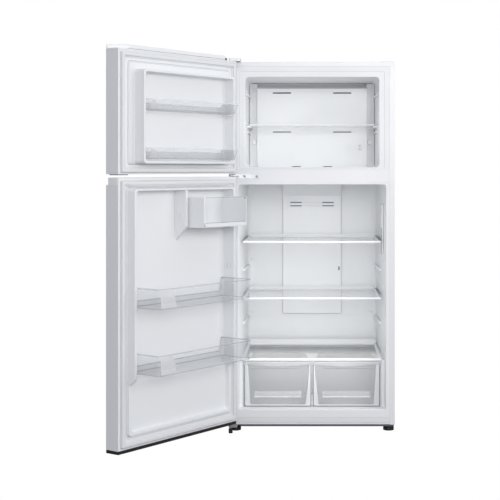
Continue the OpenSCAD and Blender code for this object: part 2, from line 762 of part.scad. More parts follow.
cabinet_shell();
back_panel();
bottom_panel();
cabinet_foam();
freezer_liner();
fridge_liner();
centre_rail();
front_rail();
base_plate();
compressor_cover();
compressor();
compressor_mounts();
condenser_coil();
drain_pan();
drain_tube();
evaporator_coil();
defrost_heater();
fan_motor();
evaporator_fan();
freezer_back_cover();
air_control();
fridge_duct_cover();
side_lamp();
top_hinge();
top_hinge_cover();
corner_cap();
centre_hinge();
bottom_hinge();
hinge_screws();
hinge_foot();
right_foot();
left_foot();
left_roller();
right_roller();
cord_inlet();
freezer_shelf();
upper_shelf();
upper_trim();
middle_shelf();
middle_trim();
crisper_cover();
cover_trim();
left_crisper();
right_crisper();
freezer_door_skin();
freezer_door_foam();
freezer_door_liner();
freezer_door_seal();
freezer_door_caps();
freezer_top_bin();
freezer_bottom_bin();
fridge_door_skin();
fridge_door_foam();
fridge_door_liner();
fridge_door_seal();
fridge_door_caps();
fridge_top_bin();
fridge_bottom_bin();
dairy_box();
dairy_flap();
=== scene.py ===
import json
import math

import bmesh
import bpy
import numpy as np
from mathutils import Matrix, Vector


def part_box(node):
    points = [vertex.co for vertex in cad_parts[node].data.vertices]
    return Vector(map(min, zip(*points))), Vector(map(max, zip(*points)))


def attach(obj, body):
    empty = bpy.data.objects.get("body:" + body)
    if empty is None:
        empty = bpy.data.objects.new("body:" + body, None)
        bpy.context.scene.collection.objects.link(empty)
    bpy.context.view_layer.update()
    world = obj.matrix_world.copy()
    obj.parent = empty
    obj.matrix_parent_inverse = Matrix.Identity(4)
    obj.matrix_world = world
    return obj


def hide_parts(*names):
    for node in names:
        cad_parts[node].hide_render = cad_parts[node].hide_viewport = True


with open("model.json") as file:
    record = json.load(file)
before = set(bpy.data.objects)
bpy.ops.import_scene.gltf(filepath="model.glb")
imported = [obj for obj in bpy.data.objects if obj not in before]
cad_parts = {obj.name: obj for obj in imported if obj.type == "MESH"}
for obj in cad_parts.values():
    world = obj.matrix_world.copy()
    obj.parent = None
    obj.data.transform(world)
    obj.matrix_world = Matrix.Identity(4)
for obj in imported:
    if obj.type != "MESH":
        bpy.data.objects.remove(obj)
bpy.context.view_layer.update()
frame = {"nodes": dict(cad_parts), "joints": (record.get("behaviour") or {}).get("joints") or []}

MM = 0.001
JOINTS = {joint["name"]: joint for joint in frame["joints"]}


# ---- Places, in millimetres, from the frame ----

def span(node, axis):
    """A CAD node's low and high side along an axis."""
    low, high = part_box(node)
    return low[axis] / MM, high[axis] / MM


FRONT, REAR = span("cabinet_shell", 1)
CABINET_BOTTOM, CABINET_TOP = span("cabinet_shell", 2)
HALF = span("cabinet_shell", 0)[1]
RAIL_LOW, RAIL_HIGH = span("centre_rail", 2)
SILL_LOW, SILL_HIGH = span("front_rail", 2)
FLANGE = span("centre_rail", 0)[1]
FREEZER_FLOOR, FREEZER_CEILING = RAIL_HIGH + 10, CABINET_TOP - 69
FRIDGE_FLOOR, FRIDGE_CEILING = SILL_HIGH + 36.2, RAIL_LOW - 7.5
FREEZER_HALF = HALF - 72.5
FRIDGE_HALF = HALF - 40.5
FRIDGE_DRAFT = 12
STEP_HALF, STEP_TOP = 318, 315

door_hinge = JOINTS["freezer_door_hinge"]
PIN = Vector(door_hinge["pos_m"]) / MM
DOOR_TURN = math.radians(door_hinge["range_deg"][0])
SEAL_GAP, DOOR_THICKNESS = 11.8, 70.4
DOOR_IN = FRONT - SEAL_GAP
DOOR_OUT = DOOR_IN - DOOR_THICKNESS
FREEZER_DOOR = span("freezer_door_skin", 2)
FREEZER_CAPS = span("freezer_door_caps", 2)
FRIDGE_DOOR = span("fridge_door_caps", 2)
FRIDGE_SKIN = span("fridge_door_skin", 2)


def open_door(points):
    """Swings points of a shut door to where the door stands open."""
    turn = Matrix.Rotation(DOOR_TURN, 3, "Z")
    pivot = Vector((PIN.x, PIN.y, 0))
    return [turn @ (Vector(p) - pivot) + pivot for p in points]


def back(depth):
    return FRONT + depth


def rise(height):
    return DOOR_IN + height


# ---- Shapes ----

ROUND = 0.5523


def rounded_loop(corners, radius, steps=5, marks=()):
    """Closed outline through four corners, from the low right one anticlockwise, with round corners.
    marks are heights at which both sides get a point of their own."""
    points = []
    count = len(corners)
    for i, corner in enumerate(corners):
        corner = np.array(corner, float)
        before = np.array(corners[i - 1], float) - corner
        after = np.array(corners[(i + 1) % count], float) - corner
        reach = radius[i] if isinstance(radius, (list, tuple)) else radius
        a = corner + before / np.linalg.norm(before) * reach
        d = corner + after / np.linalg.norm(after) * reach
        b = a + (corner - a) * ROUND
        c = d + (corner - d) * ROUND
        for step in range(steps + 1):
            t = step / steps
            points.append((1 - t) ** 3 * a + 3 * t * (1 - t) ** 2 * b + 3 * t * t * (1 - t) * c + t ** 3 * d)
        if marks and i in (0, 2):
            end = np.array(corners[i + 1], float)
            run = marks if i == 0 else reversed(marks)
            for mark in run:
                part = (mark - corner[1]) / (end[1] - corner[1])
                points.append(corner + (end - corner) * part)
    return np.array(points)


def rectangle(x, z):
    return [(x[1], z[0]), (x[1], z[1]), (x[0], z[1]), (x[0], z[0])]


def blend_rings(rings, reaches, steps=4):
    """Rounds the way from ring to ring. A reach says how far the rounding starts from its ring."""
    out = [rings[0]]
    for i in range(1, len(rings) - 1):
        here = rings[i]
        before, after = rings[i - 1] - here, rings[i + 1] - here
        long_before = np.linalg.norm(before, axis=1)
        long_after = np.linalg.norm(after, axis=1)
        reach = np.minimum(reaches[i], 0.48 * np.minimum(long_before, long_after))
        a = here + before / np.maximum(long_before, 1e-6)[:, None] * reach[:, None]
        c = here + after / np.maximum(long_after, 1e-6)[:, None] * reach[:, None]
        for step in range(steps + 1):
            t = step / steps
            out.append((1 - t) ** 2 * a + 2 * t * (1 - t) * here + t * t * c)
    out.append(rings[-1])
    return out


def skin(rings, ends="none"):
    """Faces from ring to ring. ends caps the first ring, the last or both, or fills the last one in rows."""
    count = len(rings[0])
    verts = [tuple(p) for ring in rings for p in ring]
    faces = []
    for i in range(len(rings) - 1):
        low, high = i * count, (i + 1) * count
        for j in range(count):
            k = (j + 1) % count
            faces.append((low + j, low + k, high + k, high + j))
    last = (len(rings) - 1) * count
    if ends in ("first", "both"):
        faces.append(tuple(reversed(range(count))))
    if ends in ("last", "both"):
        faces.append(tuple(range(last, last + count)))
    if ends == "rows":
        for j in range(count // 2 - 1):
            faces.append((last + j, last + j + 1, last + count - 2 - j, last + count - 1 - j))
    return verts, faces


def axes_of(axis):
    """How a flat outline and a height along an axis become a place."""
    return {
        "Y": lambda u, v, w: (u, w, v),
        "Z": lambda u, v, w: (u, v, w),
        "X": lambda u, v, w: (w, u, v),
    }[axis]


def lift(loop, height, axis="Y"):
    place = axes_of(axis)
    return np.array([place(u, v, height) for u, v in loop])


def pad(x, y, z, corner=2.0, edge=0.8, axis="Y", steps=4):
    """A rounded slab: round corners in the view along the axis, and round edges at both ends."""
    sides = {"X": (y, z, x), "Y": (x, z, y), "Z": (x, y, z)}[axis]
    (u0, u1), (v0, v1), (w0, w1) = sides
    corner = min(corner, 0.49 * (u1 - u0), 0.49 * (v1 - v0))
    edge = min(edge, 0.49 * (w1 - w0), 0.49 * corner if corner > 0 else edge)
    rings = []
    for height, way in ((w0, 1), (w1, -1)):
        turns = [0, 22.5, 45, 67.5, 90]
        for turn in turns if way == 1 else reversed(turns):
            inset = edge * (1 - math.sin(math.radians(turn)))
            level = height + way * edge * (1 - math.cos(math.radians(turn)))
            box = rectangle((u0 + inset, u1 - inset), (v0 + inset, v1 - inset))
            rings.append(lift(rounded_loop(box, max(corner - inset, 0.05), steps), level, axis))
    return skin(rings, "both")


def lathe(profile, centre, axis="Z", steps=48):
    """Turns a profile of (radius, height) about an axis through a centre."""
    place = {
        "Z": lambda r, a, h: (centre[0] + r * math.cos(a), centre[1] + r * math.sin(a), centre[2] + h),
        "Y": lambda r, a, h: (centre[0] + r * math.cos(a), centre[1] + h, centre[2] + r * math.sin(a)),
        "X": lambda r, a, h: (centre[0] + h, centre[1] + r * math.cos(a), centre[2] + r * math.sin(a)),
    }[axis]
    angles = [2 * math.pi * i / steps for i in range(steps)]
    rings = [np.array([place(max(r, 0.01), a, h) for a in angles]) for r, h in profile]
    return skin(rings, "both")


def inset(loop, distance):
    """Moves a flat anticlockwise outline inwards."""
    loop = np.array(loop, float)
    before, after = np.roll(loop, 1, axis=0), np.roll(loop, -1, axis=0)

    def normal(start, end):
        way = end - start
        way = way / np.maximum(np.linalg.norm(way, axis=1), 1e-9)[:, None]
        return np.stack([-way[:, 1], way[:, 0]], axis=1)

    one, two = normal(before, loop), normal(loop, after)
    share = 1 + np.sum(one * two, axis=1)
    return loop + distance * (one + two) / np.maximum(share, 0.3)[:, None]


def prism(loop, height, edge=1.0, axis="Z"):
    """A plate of any convex outline with rounded edges."""
    rings = []
    for level, way in ((height[0], 1), (height[1], -1)):
        turns = (0, 30, 60, 90)
        for turn in turns if way == 1 else reversed(turns):
            turn = math.radians(turn)
            ring = inset(loop, edge * (1 - math.sin(turn)))
            rings.append(lift(ring, level + way * edge * (1 - math.cos(turn)), axis))
    return skin(rings, "both")


def tube(points, radius, steps=10):
    """A round rod along points."""
    rings = []
    points = [Vector(p) for p in points]
    for i, point in enumerate(points):
        ahead = points[min(i + 1, len(points) - 1)] - points[max(i - 1, 0)]
        side = ahead.cross(Vector((0.13, 0.27, 1.0))).normalized()
        up = side.cross(ahead).normalized()
        angles = [2 * math.pi * k / steps for k in range(steps)]
        rings.append(np.array([point + (side * math.cos(a) + up * math.sin(a)) * radius for a in angles]))
    return skin(rings, "both")


# ---- Materials ----

def group_sockets(group, inputs, outputs):
    for name, kind, value in inputs:
        socket = group.interface.new_socket(name, in_out="INPUT", socket_type=kind)
        socket.default_value = value
    for name, kind in outputs:
        group.interface.new_socket(name, in_out="OUTPUT", socket_type=kind)


def shade_drift_group():
    """A colour that drifts a little over the surface, as moulded and painted parts do."""
    group = bpy.data.node_groups.new("shade_drift", "ShaderNodeTree")
    group_sockets(
        group,
        [("Color", "NodeSocketColor", (1, 1, 1, 1)), ("Shade", "NodeSocketColor", (0.5, 0.5, 0.5, 1)),
         ("Scale", "NodeSocketFloat", 3.0), ("Amount", "NodeSocketFloat", 0.2)],
        [("Color", "NodeSocketColor"), ("Mask", "NodeSocketFloat")],
    )
    nodes, links = group.nodes, group.links
    enter, leave = nodes.new("NodeGroupInput"), nodes.new("NodeGroupOutput")
    place = nodes.new("ShaderNodeTexCoord")
    noise = nodes.new("ShaderNodeTexNoise")
    noise.inputs["Detail"].default_value = 4
    spread = nodes.new("ShaderNodeMapRange")
    spread.inputs["From Min"].default_value = 0.35
    spread.inputs["From Max"].default_value = 0.7
    scaled = nodes.new("ShaderNodeMath")
    scaled.operation = "MULTIPLY"
    mix = nodes.new("ShaderNodeMix")
    mix.data_type = "RGBA"
    links.new(place.outputs["Object"], noise.inputs["Vector"])
    links.new(enter.outputs["Scale"], noise.inputs["Scale"])
    links.new(noise.outputs["Fac"], spread.inputs["Value"])
    links.new(spread.outputs["Result"], scaled.inputs[0])
    links.new(enter.outputs["Amount"], scaled.inputs[1])
    links.new(scaled.outputs["Value"], mix.inputs["Factor"])
    links.new(enter.outputs["Color"], mix.inputs["A"])
    links.new(enter.outputs["Shade"], mix.inputs["B"])
    links.new(mix.outputs["Result"], leave.inputs["Color"])
    links.new(spread.outputs["Result"], leave.inputs["Mask"])
    return group


def fine_grain_group():
    """A fine moulded or painted grain, as a height and a roughness."""
    group = bpy.data.node_groups.new("fine_grain", "ShaderNodeTree")
    group_sockets(
        group,
        [("Scale", "NodeSocketFloat", 400.0), ("Smooth", "NodeSocketFloat", 0.3),
         ("Rough", "NodeSocketFloat", 0.4), ("Stretch", "NodeSocketFloat", 1.0)],
        [("Height", "NodeSocketFloat"), ("Roughness", "NodeSocketFloat")],
    )
    nodes, links = group.nodes, group.links
    enter, leave = nodes.new("NodeGroupInput"), nodes.new("NodeGroupOutput")
    place = nodes.new("ShaderNodeTexCoord")
    squeeze = nodes.new("ShaderNodeVectorMath")
    squeeze.operation = "MULTIPLY"
    combine = nodes.new("ShaderNodeCombineXYZ")
    combine.inputs["Y"].default_value = 1
    combine.inputs["Z"].default_value = 1
    noise = nodes.new("ShaderNodeTexNoise")
    noise.inputs["Detail"].default_value = 3
    slow = nodes.new("ShaderNodeTexNoise")
    slow.inputs["Scale"].default_value = 6
    rough = nodes.new("ShaderNodeMapRange")
    rough.inputs["From Min"].default_value = 0.3
    rough.inputs["From Max"].default_value = 0.7
    links.new(place.outputs["Object"], squeeze.inputs[0])
    links.new(enter.outputs["Stretch"], combine.inputs["X"])
    links.new(combine.outputs["Vector"], squeeze.inputs[1])
    links.new(squeeze.outputs["Vector"], noise.inputs["Vector"])
    links.new(enter.outputs["Scale"], noise.inputs["Scale"])
    links.new(place.outputs["Object"], slow.inputs["Vector"])
    links.new(slow.outputs["Fac"], rough.inputs["Value"])
    links.new(enter.outputs["Smooth"], rough.inputs["To Min"])
    links.new(enter.outputs["Rough"], rough.inputs["To Max"])
    links.new(noise.outputs["Fac"], leave.inputs["Height"])
    links.new(rough.outputs["Result"], leave.inputs["Roughness"])
    return group


SHADE_DRIFT = shade_drift_group()
FINE_GRAIN = fine_grain_group()


def material(name, color, shade, drift=(3.0, 0.2), grain=(400.0, 0.02), rough=(0.3, 0.4), stretch=1.0,
             **shader):
    """A procedural finish: a drifting colour, a fine grain and a roughness that varies with it."""
    made = bpy.data.materials.new(name)
    made.use_nodes = True
    nodes, links = made.node_tree.nodes, made.node_tree.links
    surface = nodes["Principled BSDF"]
    tint = nodes.new("ShaderNodeGroup")
    tint.node_tree = SHADE_DRIFT
    tint.inputs["Color"].default_value = (*color, 1)
    tint.inputs["Shade"].default_value = (*shade, 1)
    tint.inputs["Scale"].default_value = drift[0]
    tint.inputs["Amount"].default_value = drift[1]
    texture = nodes.new("ShaderNodeGroup")
    texture.node_tree = FINE_GRAIN
    texture.inputs["Scale"].default_value = grain[0]
    texture.inputs["Smooth"].default_value = rough[0]
    texture.inputs["Rough"].default_value = rough[1]
    texture.inputs["Stretch"].default_value = stretch
    bump = nodes.new("ShaderNodeBump")
    bump.inputs["Strength"].default_value = 0.6
    bump.inputs["Distance"].default_value = grain[1] * MM
    links.new(tint.outputs["Color"], surface.inputs["Base Color"])
    links.new(texture.outputs["Roughness"], surface.inputs["Roughness"])
    links.new(texture.outputs["Height"], bump.inputs["Height"])
    links.new(bump.outputs["Normal"], surface.inputs["Normal"])
    for socket, value in shader.items():
        surface.inputs[socket.replace("_", " ")].default_value = value
    return made


ENAMEL = material("white_enamel", (0.80, 0.81, 0.825), (0.78, 0.79, 0.81), (1.2, 0.25), (260.0, 0.03),
                  (0.34, 0.40),
                  Coat_Weight=0.25, Coat_Roughness=0.2)
LINER = material("white_liner", (0.84, 0.85, 0.86), (0.825, 0.835, 0.85), (1.5, 0.25), (150.0, 0.04),
                 (0.38, 0.46))
MOULDED = material("white_moulding", (0.85, 0.86, 0.87), (0.81, 0.82, 0.84), (4.0, 0.2), (600.0, 0.02),
                   (0.28, 0.38))
# Grey trim for shelf rails, the slider grip and the flange joints; on the freezer door's grip it is painted
# shade.
GREY_TRIM_AND_GRIP_SHADE = material("grey_trim_and_grip_shade", (0.33, 0.35, 0.38), (0.28, 0.30, 0.33), (6.0, 0.4), (700.0, 0.02),
                     (0.3, 0.4))
VINYL = material("seal_vinyl", (0.78, 0.785, 0.80), (0.72, 0.73, 0.745), (5.0, 0.4), (500.0, 0.05),
                 (0.5, 0.62))
CLEAR = material("clear_moulding", (0.80, 0.82, 0.845), (0.74, 0.765, 0.795), (4.0, 0.4), (60.0, 0.03),
                 (0.10, 0.18), Alpha=0.12)
TUB = material("crisper_moulding", (0.90, 0.915, 0.93), (0.86, 0.88, 0.90), (3.0, 0.3), (90.0, 0.02),
               (0.3, 0.4),
               Alpha=0.12)
# Darker, denser clear plastic for rims, beads and pins: the thicker plastic there, darkened as painted shade
# for the dark edges clear plastic shows.
CLEAR_RIM_EDGE_SHADE = material("clear_rim_edge_shade", (0.56, 0.58, 0.62), (0.50, 0.52, 0.56), (6.0, 0.4),
                     (90.0, 0.03),
                     (0.08, 0.18), Alpha=0.5)
PANE = material("shelf_glass", (0.90, 0.915, 0.92), (0.87, 0.89, 0.90), (2.0, 0.3), (40.0, 0.005),
                (0.12, 0.2),
                Alpha=0.17)
FLAP = material("thin_clear_flap", (0.84, 0.86, 0.87), (0.80, 0.83, 0.84), (3.0, 0.3), (60.0, 0.01),
                (0.1, 0.16),
                Alpha=0.08)
# Near-white, half-clear painted highlight for the bright panels in the bins.
PAINTED_BIN_HIGHLIGHT = material("painted_bin_highlight", (0.96, 0.96, 0.96), (0.93, 0.93, 0.935), (5.0, 0.3), (90.0, 0.02),
                  (0.2, 0.3), Alpha=0.55)
# Grey painted shade for the fine lines in creases and along the edges of mouldings.
PAINTED_CREASE_SHADE = material("painted_crease_shade", (0.50, 0.51, 0.54), (0.46, 0.47, 0.50), (5.0, 0.3), (200.0, 0.01),
                (0.4, 0.5),
                Alpha=0.55)
THIN_RIM = material("pale_clear_rim", (0.86, 0.87, 0.885), (0.80, 0.815, 0.83), (6.0, 0.4), (90.0, 0.03),
                    (0.1, 0.2), Alpha=0.35)
FROSTED = material("frosted_front", (0.84, 0.85, 0.865), (0.79, 0.805, 0.825), (3.0, 0.3), (900.0, 0.03),
                   (0.35, 0.5), Alpha=0.78)
STEEL = material("plated_steel", (0.50, 0.51, 0.53), (0.38, 0.39, 0.41), (30.0, 0.6), (300.0, 0.03),
                 (0.26, 0.42),
                 stretch=0.05, Metallic=1.0)
GALVANISED = material("galvanised_sheet", (0.66, 0.68, 0.70), (0.55, 0.57, 0.59), (45.0, 0.8),
                      (120.0, 0.02),
                      (0.34, 0.55), Metallic=0.9)
ALUMINIUM = material("fin_aluminium", (0.78, 0.79, 0.80), (0.68, 0.69, 0.70), (20.0, 0.5), (300.0, 0.02),
                     (0.3, 0.45), Metallic=1.0)
BLACK_PAINT = material("black_paint", (0.012, 0.012, 0.013), (0.02, 0.02, 0.022), (8.0, 0.6),
                       (200.0, 0.04),
                       (0.3, 0.45))
BLACK_PLASTIC = material("black_plastic", (0.004, 0.004, 0.005), (0.008, 0.008, 0.009), (10.0, 0.6),
                         (800.0, 0.05), (0.42, 0.58))
RUBBER = material("dark_rubber", (0.018, 0.018, 0.018), (0.03, 0.03, 0.03), (12.0, 0.6), (500.0, 0.08),
                  (0.65, 0.8))
# Near-black painted shade, for slits and the gaps round the crisper fronts.
PAINTED_SLIT_SHADE = material("painted_slit_shade", (0.045, 0.05, 0.065), (0.03, 0.035, 0.045), (10.0, 0.5), (400.0, 0.03),
                (0.6, 0.7))
# Dark blue-grey painted shade, put on gaps, slots and folds where shade falls.
PAINTED_GAP_SHADE = material("painted_recess_shade", (0.10, 0.115, 0.14), (0.07, 0.08, 0.10), (10.0, 0.5), (400.0, 0.03),
                    (0.5, 0.6))
# Dark grey painted shade for the lamp's lens bar, the grille holes, the duct's slots and its sensor spot.
PAINTED_LENS_AND_SLOT_SHADE = material("painted_lens_and_slot_shade", (0.25, 0.27, 0.32), (0.20, 0.22, 0.27), (12.0, 0.5), (300.0, 0.03),
                (0.12, 0.22))
FOAM = material("insulating_foam", (0.75, 0.62, 0.33), (0.62, 0.49, 0.24), (20.0, 0.7), (140.0, 0.6),
                (0.8, 0.95))
HEATER = material("heater_tube", (0.72, 0.70, 0.68), (0.60, 0.57, 0.55), (14.0, 0.5), (200.0, 0.02),
                  (0.1, 0.2))
FLOOR_GREY = material("studio_floor", (0.30, 0.30, 0.31), (0.28, 0.28, 0.29), (0.5, 0.2), (50.0, 0.01),
                      (0.6, 0.7))


# ---- Making pieces ----

def finish_mesh(made, facing=None):
    """Turns a new mesh's faces the right way and shades it smooth."""
    bm = bmesh.new()
    bm.from_mesh(made.data)
    bmesh.ops.remove_doubles(bm, verts=bm.verts, dist=1e-6)
    bmesh.ops.dissolve_degenerate(bm, edges=bm.edges, dist=1e-7)
    bmesh.ops.recalc_face_normals(bm, faces=bm.faces)
    if facing is not None:
        total = sum((face.normal * face.calc_area() for face in bm.faces), Vector())
        if total.dot(facing) < 0:
            bmesh.ops.reverse_faces(bm, faces=bm.faces)
    for face in bm.faces:
        face.smooth = True
    bm.to_mesh(made.data)
    bm.free()


def weigh_normals(made):
    weigh = made.modifiers.new("even_shading", "WEIGHTED_NORMAL")
    weigh.weight = 80
    weigh.keep_sharp = True


def piece(name, body, parts, stands_for=(), door=False, wall=None, facing=None, bevel=None):
    """Makes a piece from (verts, faces, material) parts in millimetres, on its body and with its slot.
    wall thickens an open surface, whose seen side looks along facing. bevel rounds its sharp edges."""
    verts, faces, numbers, finishes = [], [], [], []
    for part_verts, part_faces, finish in parts:
        if finish not in finishes:
            finishes.append(finish)
        start = len(verts)
        verts += [tuple(v) for v in part_verts]
        faces += [tuple(start + i for i in face) for face in part_faces]
        numbers += [finishes.index(finish)] * len(part_faces)
    if door:
        verts = open_door(verts)
    mesh = bpy.data.meshes.new(name)
    mesh.from_pydata([Vector(v) * MM for v in verts], [], faces)
    for finish in finishes:
        mesh.materials.append(finish)
    mesh.polygons.foreach_set("material_index", numbers)
    made = bpy.data.objects.new(name, mesh)
    bpy.context.scene.collection.objects.link(made)
    finish_mesh(made, facing)
    if wall:
        thick = made.modifiers.new("wall", "SOLIDIFY")
        thick.thickness = wall * MM
        thick.offset = -1
    if bevel:
        soft = made.modifiers.new("soft_edges", "BEVEL")
        soft.width = bevel * MM
        soft.segments = 3
        soft.limit_method = "ANGLE"
        soft.angle_limit = math.radians(28)
    weigh_normals(made)
    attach(made, body)
    if stands_for:
        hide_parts(*stands_for)
    return made


def edge_chains(edges):
    """Groups edges that meet, with each group's longest side."""
    left = set(edges)
    while left:
        chain, queue = [], [left.pop()]
        while queue:
            edge = queue.pop()
            chain.append(edge)
            for vert in edge.verts:
                for other in vert.link_edges:
                    if other in left:
                        left.remove(other)
                        queue.append(other)
        co = [vert.co for edge in chain for vert in edge.verts]
        size = max(max(c[i] for c in co) - min(c[i] for c in co) for i in range(3))
        yield chain, size


def softened(name, node, body, finish, width, small_width=0.0, small_size=130, angle=30,
             colour_by=None):
    """A copy of a CAD node with its sharp edges rounded. Chains of edges shorter than small_size, such as
    round a slit, take small_width. colour_by picks a second finish for some faces."""
    bm = bmesh.new()
    bm.from_mesh(frame["nodes"][node].data)
    bmesh.ops.remove_doubles(bm, verts=bm.verts, dist=2e-6)
    bmesh.ops.dissolve_limit(bm, angle_limit=math.radians(0.5), verts=bm.verts, edges=bm.edges)
    sharp = [e for e in bm.edges if len(e.link_faces) == 2 and e.calc_face_angle() > math.radians(angle)]
    wide, narrow = [], []
    for chain, size in edge_chains(sharp):
        (wide if size > small_size * MM else narrow).extend(chain)
    for chosen, reach in ((wide, width), (narrow, small_width)):
        chosen = [edge for edge in chosen if edge.is_valid]
        if chosen and reach:
            bmesh.ops.bevel(bm, geom=chosen, offset=reach * MM, offset_type="OFFSET", segments=3,
                            profile=0.5,
                            affect="EDGES", clamp_overlap=True, loop_slide=True)
    mesh = bpy.data.meshes.new(name)
    mesh.materials.append(finish)
    for face in bm.faces:
        face.smooth = True
        face.material_index = 0
        if colour_by and colour_by[1](face.calc_center_median() / MM):
            face.material_index = 1
    if colour_by:
        mesh.materials.append(colour_by[0])
    bm.to_mesh(mesh)
    bm.free()
    made = bpy.data.objects.new(name, mesh)
    bpy.context.scene.collection.objects.link(made)
    weigh_normals(made)
    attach(made, body)
    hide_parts(node)
    return made


def refinish(node, finish):
    """Gives a CAD node that stays as it is its finished material."""
    made = frame["nodes"][node]
    for place in made.material_slots:
        place.material = finish
    if not made.material_slots:
        made.data.materials.append(finish)


# ---- Cabinet ----

def cabinet():
    softened("cabinet_wrap", "cabinet_shell", "cabinet", ENAMEL, 1.0)
    softened("rear_sheet", "back_panel", "cabinet", GALVANISED, 0.4)
    # The underside sheet's front fold takes the painted shade colour: the dark band under the cabinet front
    # is shade on the galvanised sheet.
    softened("underside_sheet", "bottom_panel", "cabinet", GALVANISED, 0.4,
             colour_by=(PAINTED_GAP_SHADE, lambda place: place.z < CABINET_BOTTOM + 1 and place.y < FRONT + 5))
    softened("machine_tray", "base_plate", "cabinet", GALVANISED, 0.4)
    softened("machine_cover", "compressor_cover", "cabinet", GALVANISED, 0.3, 0.2)
    refinish("cabinet_foam", FOAM)


def centre_rail():
    rail = pad((-FLANGE, FLANGE), (FRONT, FRONT + 8), (RAIL_LOW, RAIL_HIGH), 0.8, 0.7)
    parts = [(*rail, ENAMEL)]
    for x in (253, 300):
        plug = lathe([(0, -1.2), (2.5, -1.2), (4.2, -0.5), (4.4, 0.2), (0, 0.3)], (x, FRONT, 1168.7), "Y",
                     24)
        parts.append((*plug, MOULDED))
    piece("compartment_rail", "cabinet", parts, ["centre_rail"])


def front_rail():
    seam = 41
    low = pad((-FLANGE, FLANGE), (FRONT, FRONT + 8), (SILL_LOW, seam - 0.5), 0.8, 0.6)
    high = pad((-FLANGE, FLANGE), (FRONT, FRONT + 8), (seam + 0.5, SILL_HIGH), 0.8, 0.6)
    piece("sill_rail", "cabinet", [(*low, ENAMEL), (*high, ENAMEL)], ["front_rail"])


def wall_bump(x, depth, z, height, out=8, side=1):
    """A rounded shelf rest on a side wall."""
    low, high = sorted((side * x, side * (x - out)))
    return pad((low, high), (back(depth[0]), back(depth[1])), (z - height / 2, z + height / 2),
               height * 0.48, out * 0.35, "X")


def boss(x, z, depth, radius=8, proud=2.5):
    """A round bump on a back wall."""
    profile = [(0, -proud), (radius * 0.7, -proud), (radius * 0.92, -proud * 0.6), (radius, 0),
               (radius, 1)]
    return lathe(profile, (x, back(depth), z), "Y", 32)


def freezer_liner():
    flange = rectangle((-FLANGE, FLANGE), (RAIL_HIGH + 0.25, CABINET_TOP - 20.2))
    step = rectangle((-331.3, 331.3), (RAIL_HIGH + 1.8, 1643.6))
    mouth = rectangle((-FREEZER_HALF, FREEZER_HALF), (FREEZER_FLOOR, FREEZER_CEILING))
    loops = [
        (flange, 1.0, 2.4), (flange, 1.0, 0.0), (step, 9, 0.0), (step, 9, 1.2),
        (mouth, 16, 1.2), (mouth, 18, 585), (rectangle((-285, 285),
                                                       (FREEZER_FLOOR + 20,
                                                        FREEZER_CEILING - 20)), 8, 585),
    ]
    reaches = [0, 0.9, 0.9, 0.9, 5, 14, 0]
    rings = [lift(rounded_loop(box, r, 6), back(depth)) for box, r, depth in loops]
    parts = [(*skin(blend_rings(rings, reaches), "rows"), LINER)]
    made = piece("freezer_lining", "cabinet", parts, ["freezer_liner"], wall=2.0,
                 facing=Vector((0, -1, 0)))
    rests = []
    for side in (-1, 1):
        for z in (1371, 1396, 1545):
            rests.append((*wall_bump(FREEZER_HALF + 1, (148, 420), z, 8, 17 if z == 1396 else 8, side),
                          LINER))
        for z in (1382, 1545):
            rests.append((*wall_bump(FREEZER_HALF + 1, (60, 84), z, 14, 5, side), LINER))
    piece("freezer_shelf_rests", "cabinet", rests)
    # The step line is painted shade in the crease; the grey strips are the joints between liner and shell.
    seams_and_crease_shade = [(*crease(331.6, (RAIL_HIGH + 1.5, 1643.9), 9, FRONT + 1.05, 1.0), PAINTED_CREASE_SHADE)]
    strip = (FRONT + 1.7, FRONT + 2.6)
    for side in (-1, 1):
        seams_and_crease_shade.append((*pad(sorted((side * 352.6, side * 355.6)), strip, (32, CABINET_TOP - 18.6), 0.5,
                           0.2), GREY_TRIM_AND_GRIP_SHADE))
    seams_and_crease_shade.append((*pad((-355.6, 355.6), strip, (CABINET_TOP - 21.6, CABINET_TOP - 18.6), 0.5, 0.2),
                  GREY_TRIM_AND_GRIP_SHADE))
    piece("cabinet_front_seams_and_crease_shade", "cabinet", seams_and_crease_shade)
    return made


def shelf_ledge(z, side):
    """A shelf rest on a fridge side wall, wider towards the back, with a round front end."""
    plan = rounded_loop([(321, back(296)), (340, back(296)), (340, back(571)), (310, back(571))],
                        [8, 1, 1, 2], 5)
    verts, faces = prism(plan, (z - 6, z + 5), 2.2)
    return [(side * x, y, level) for x, y, level in verts], faces


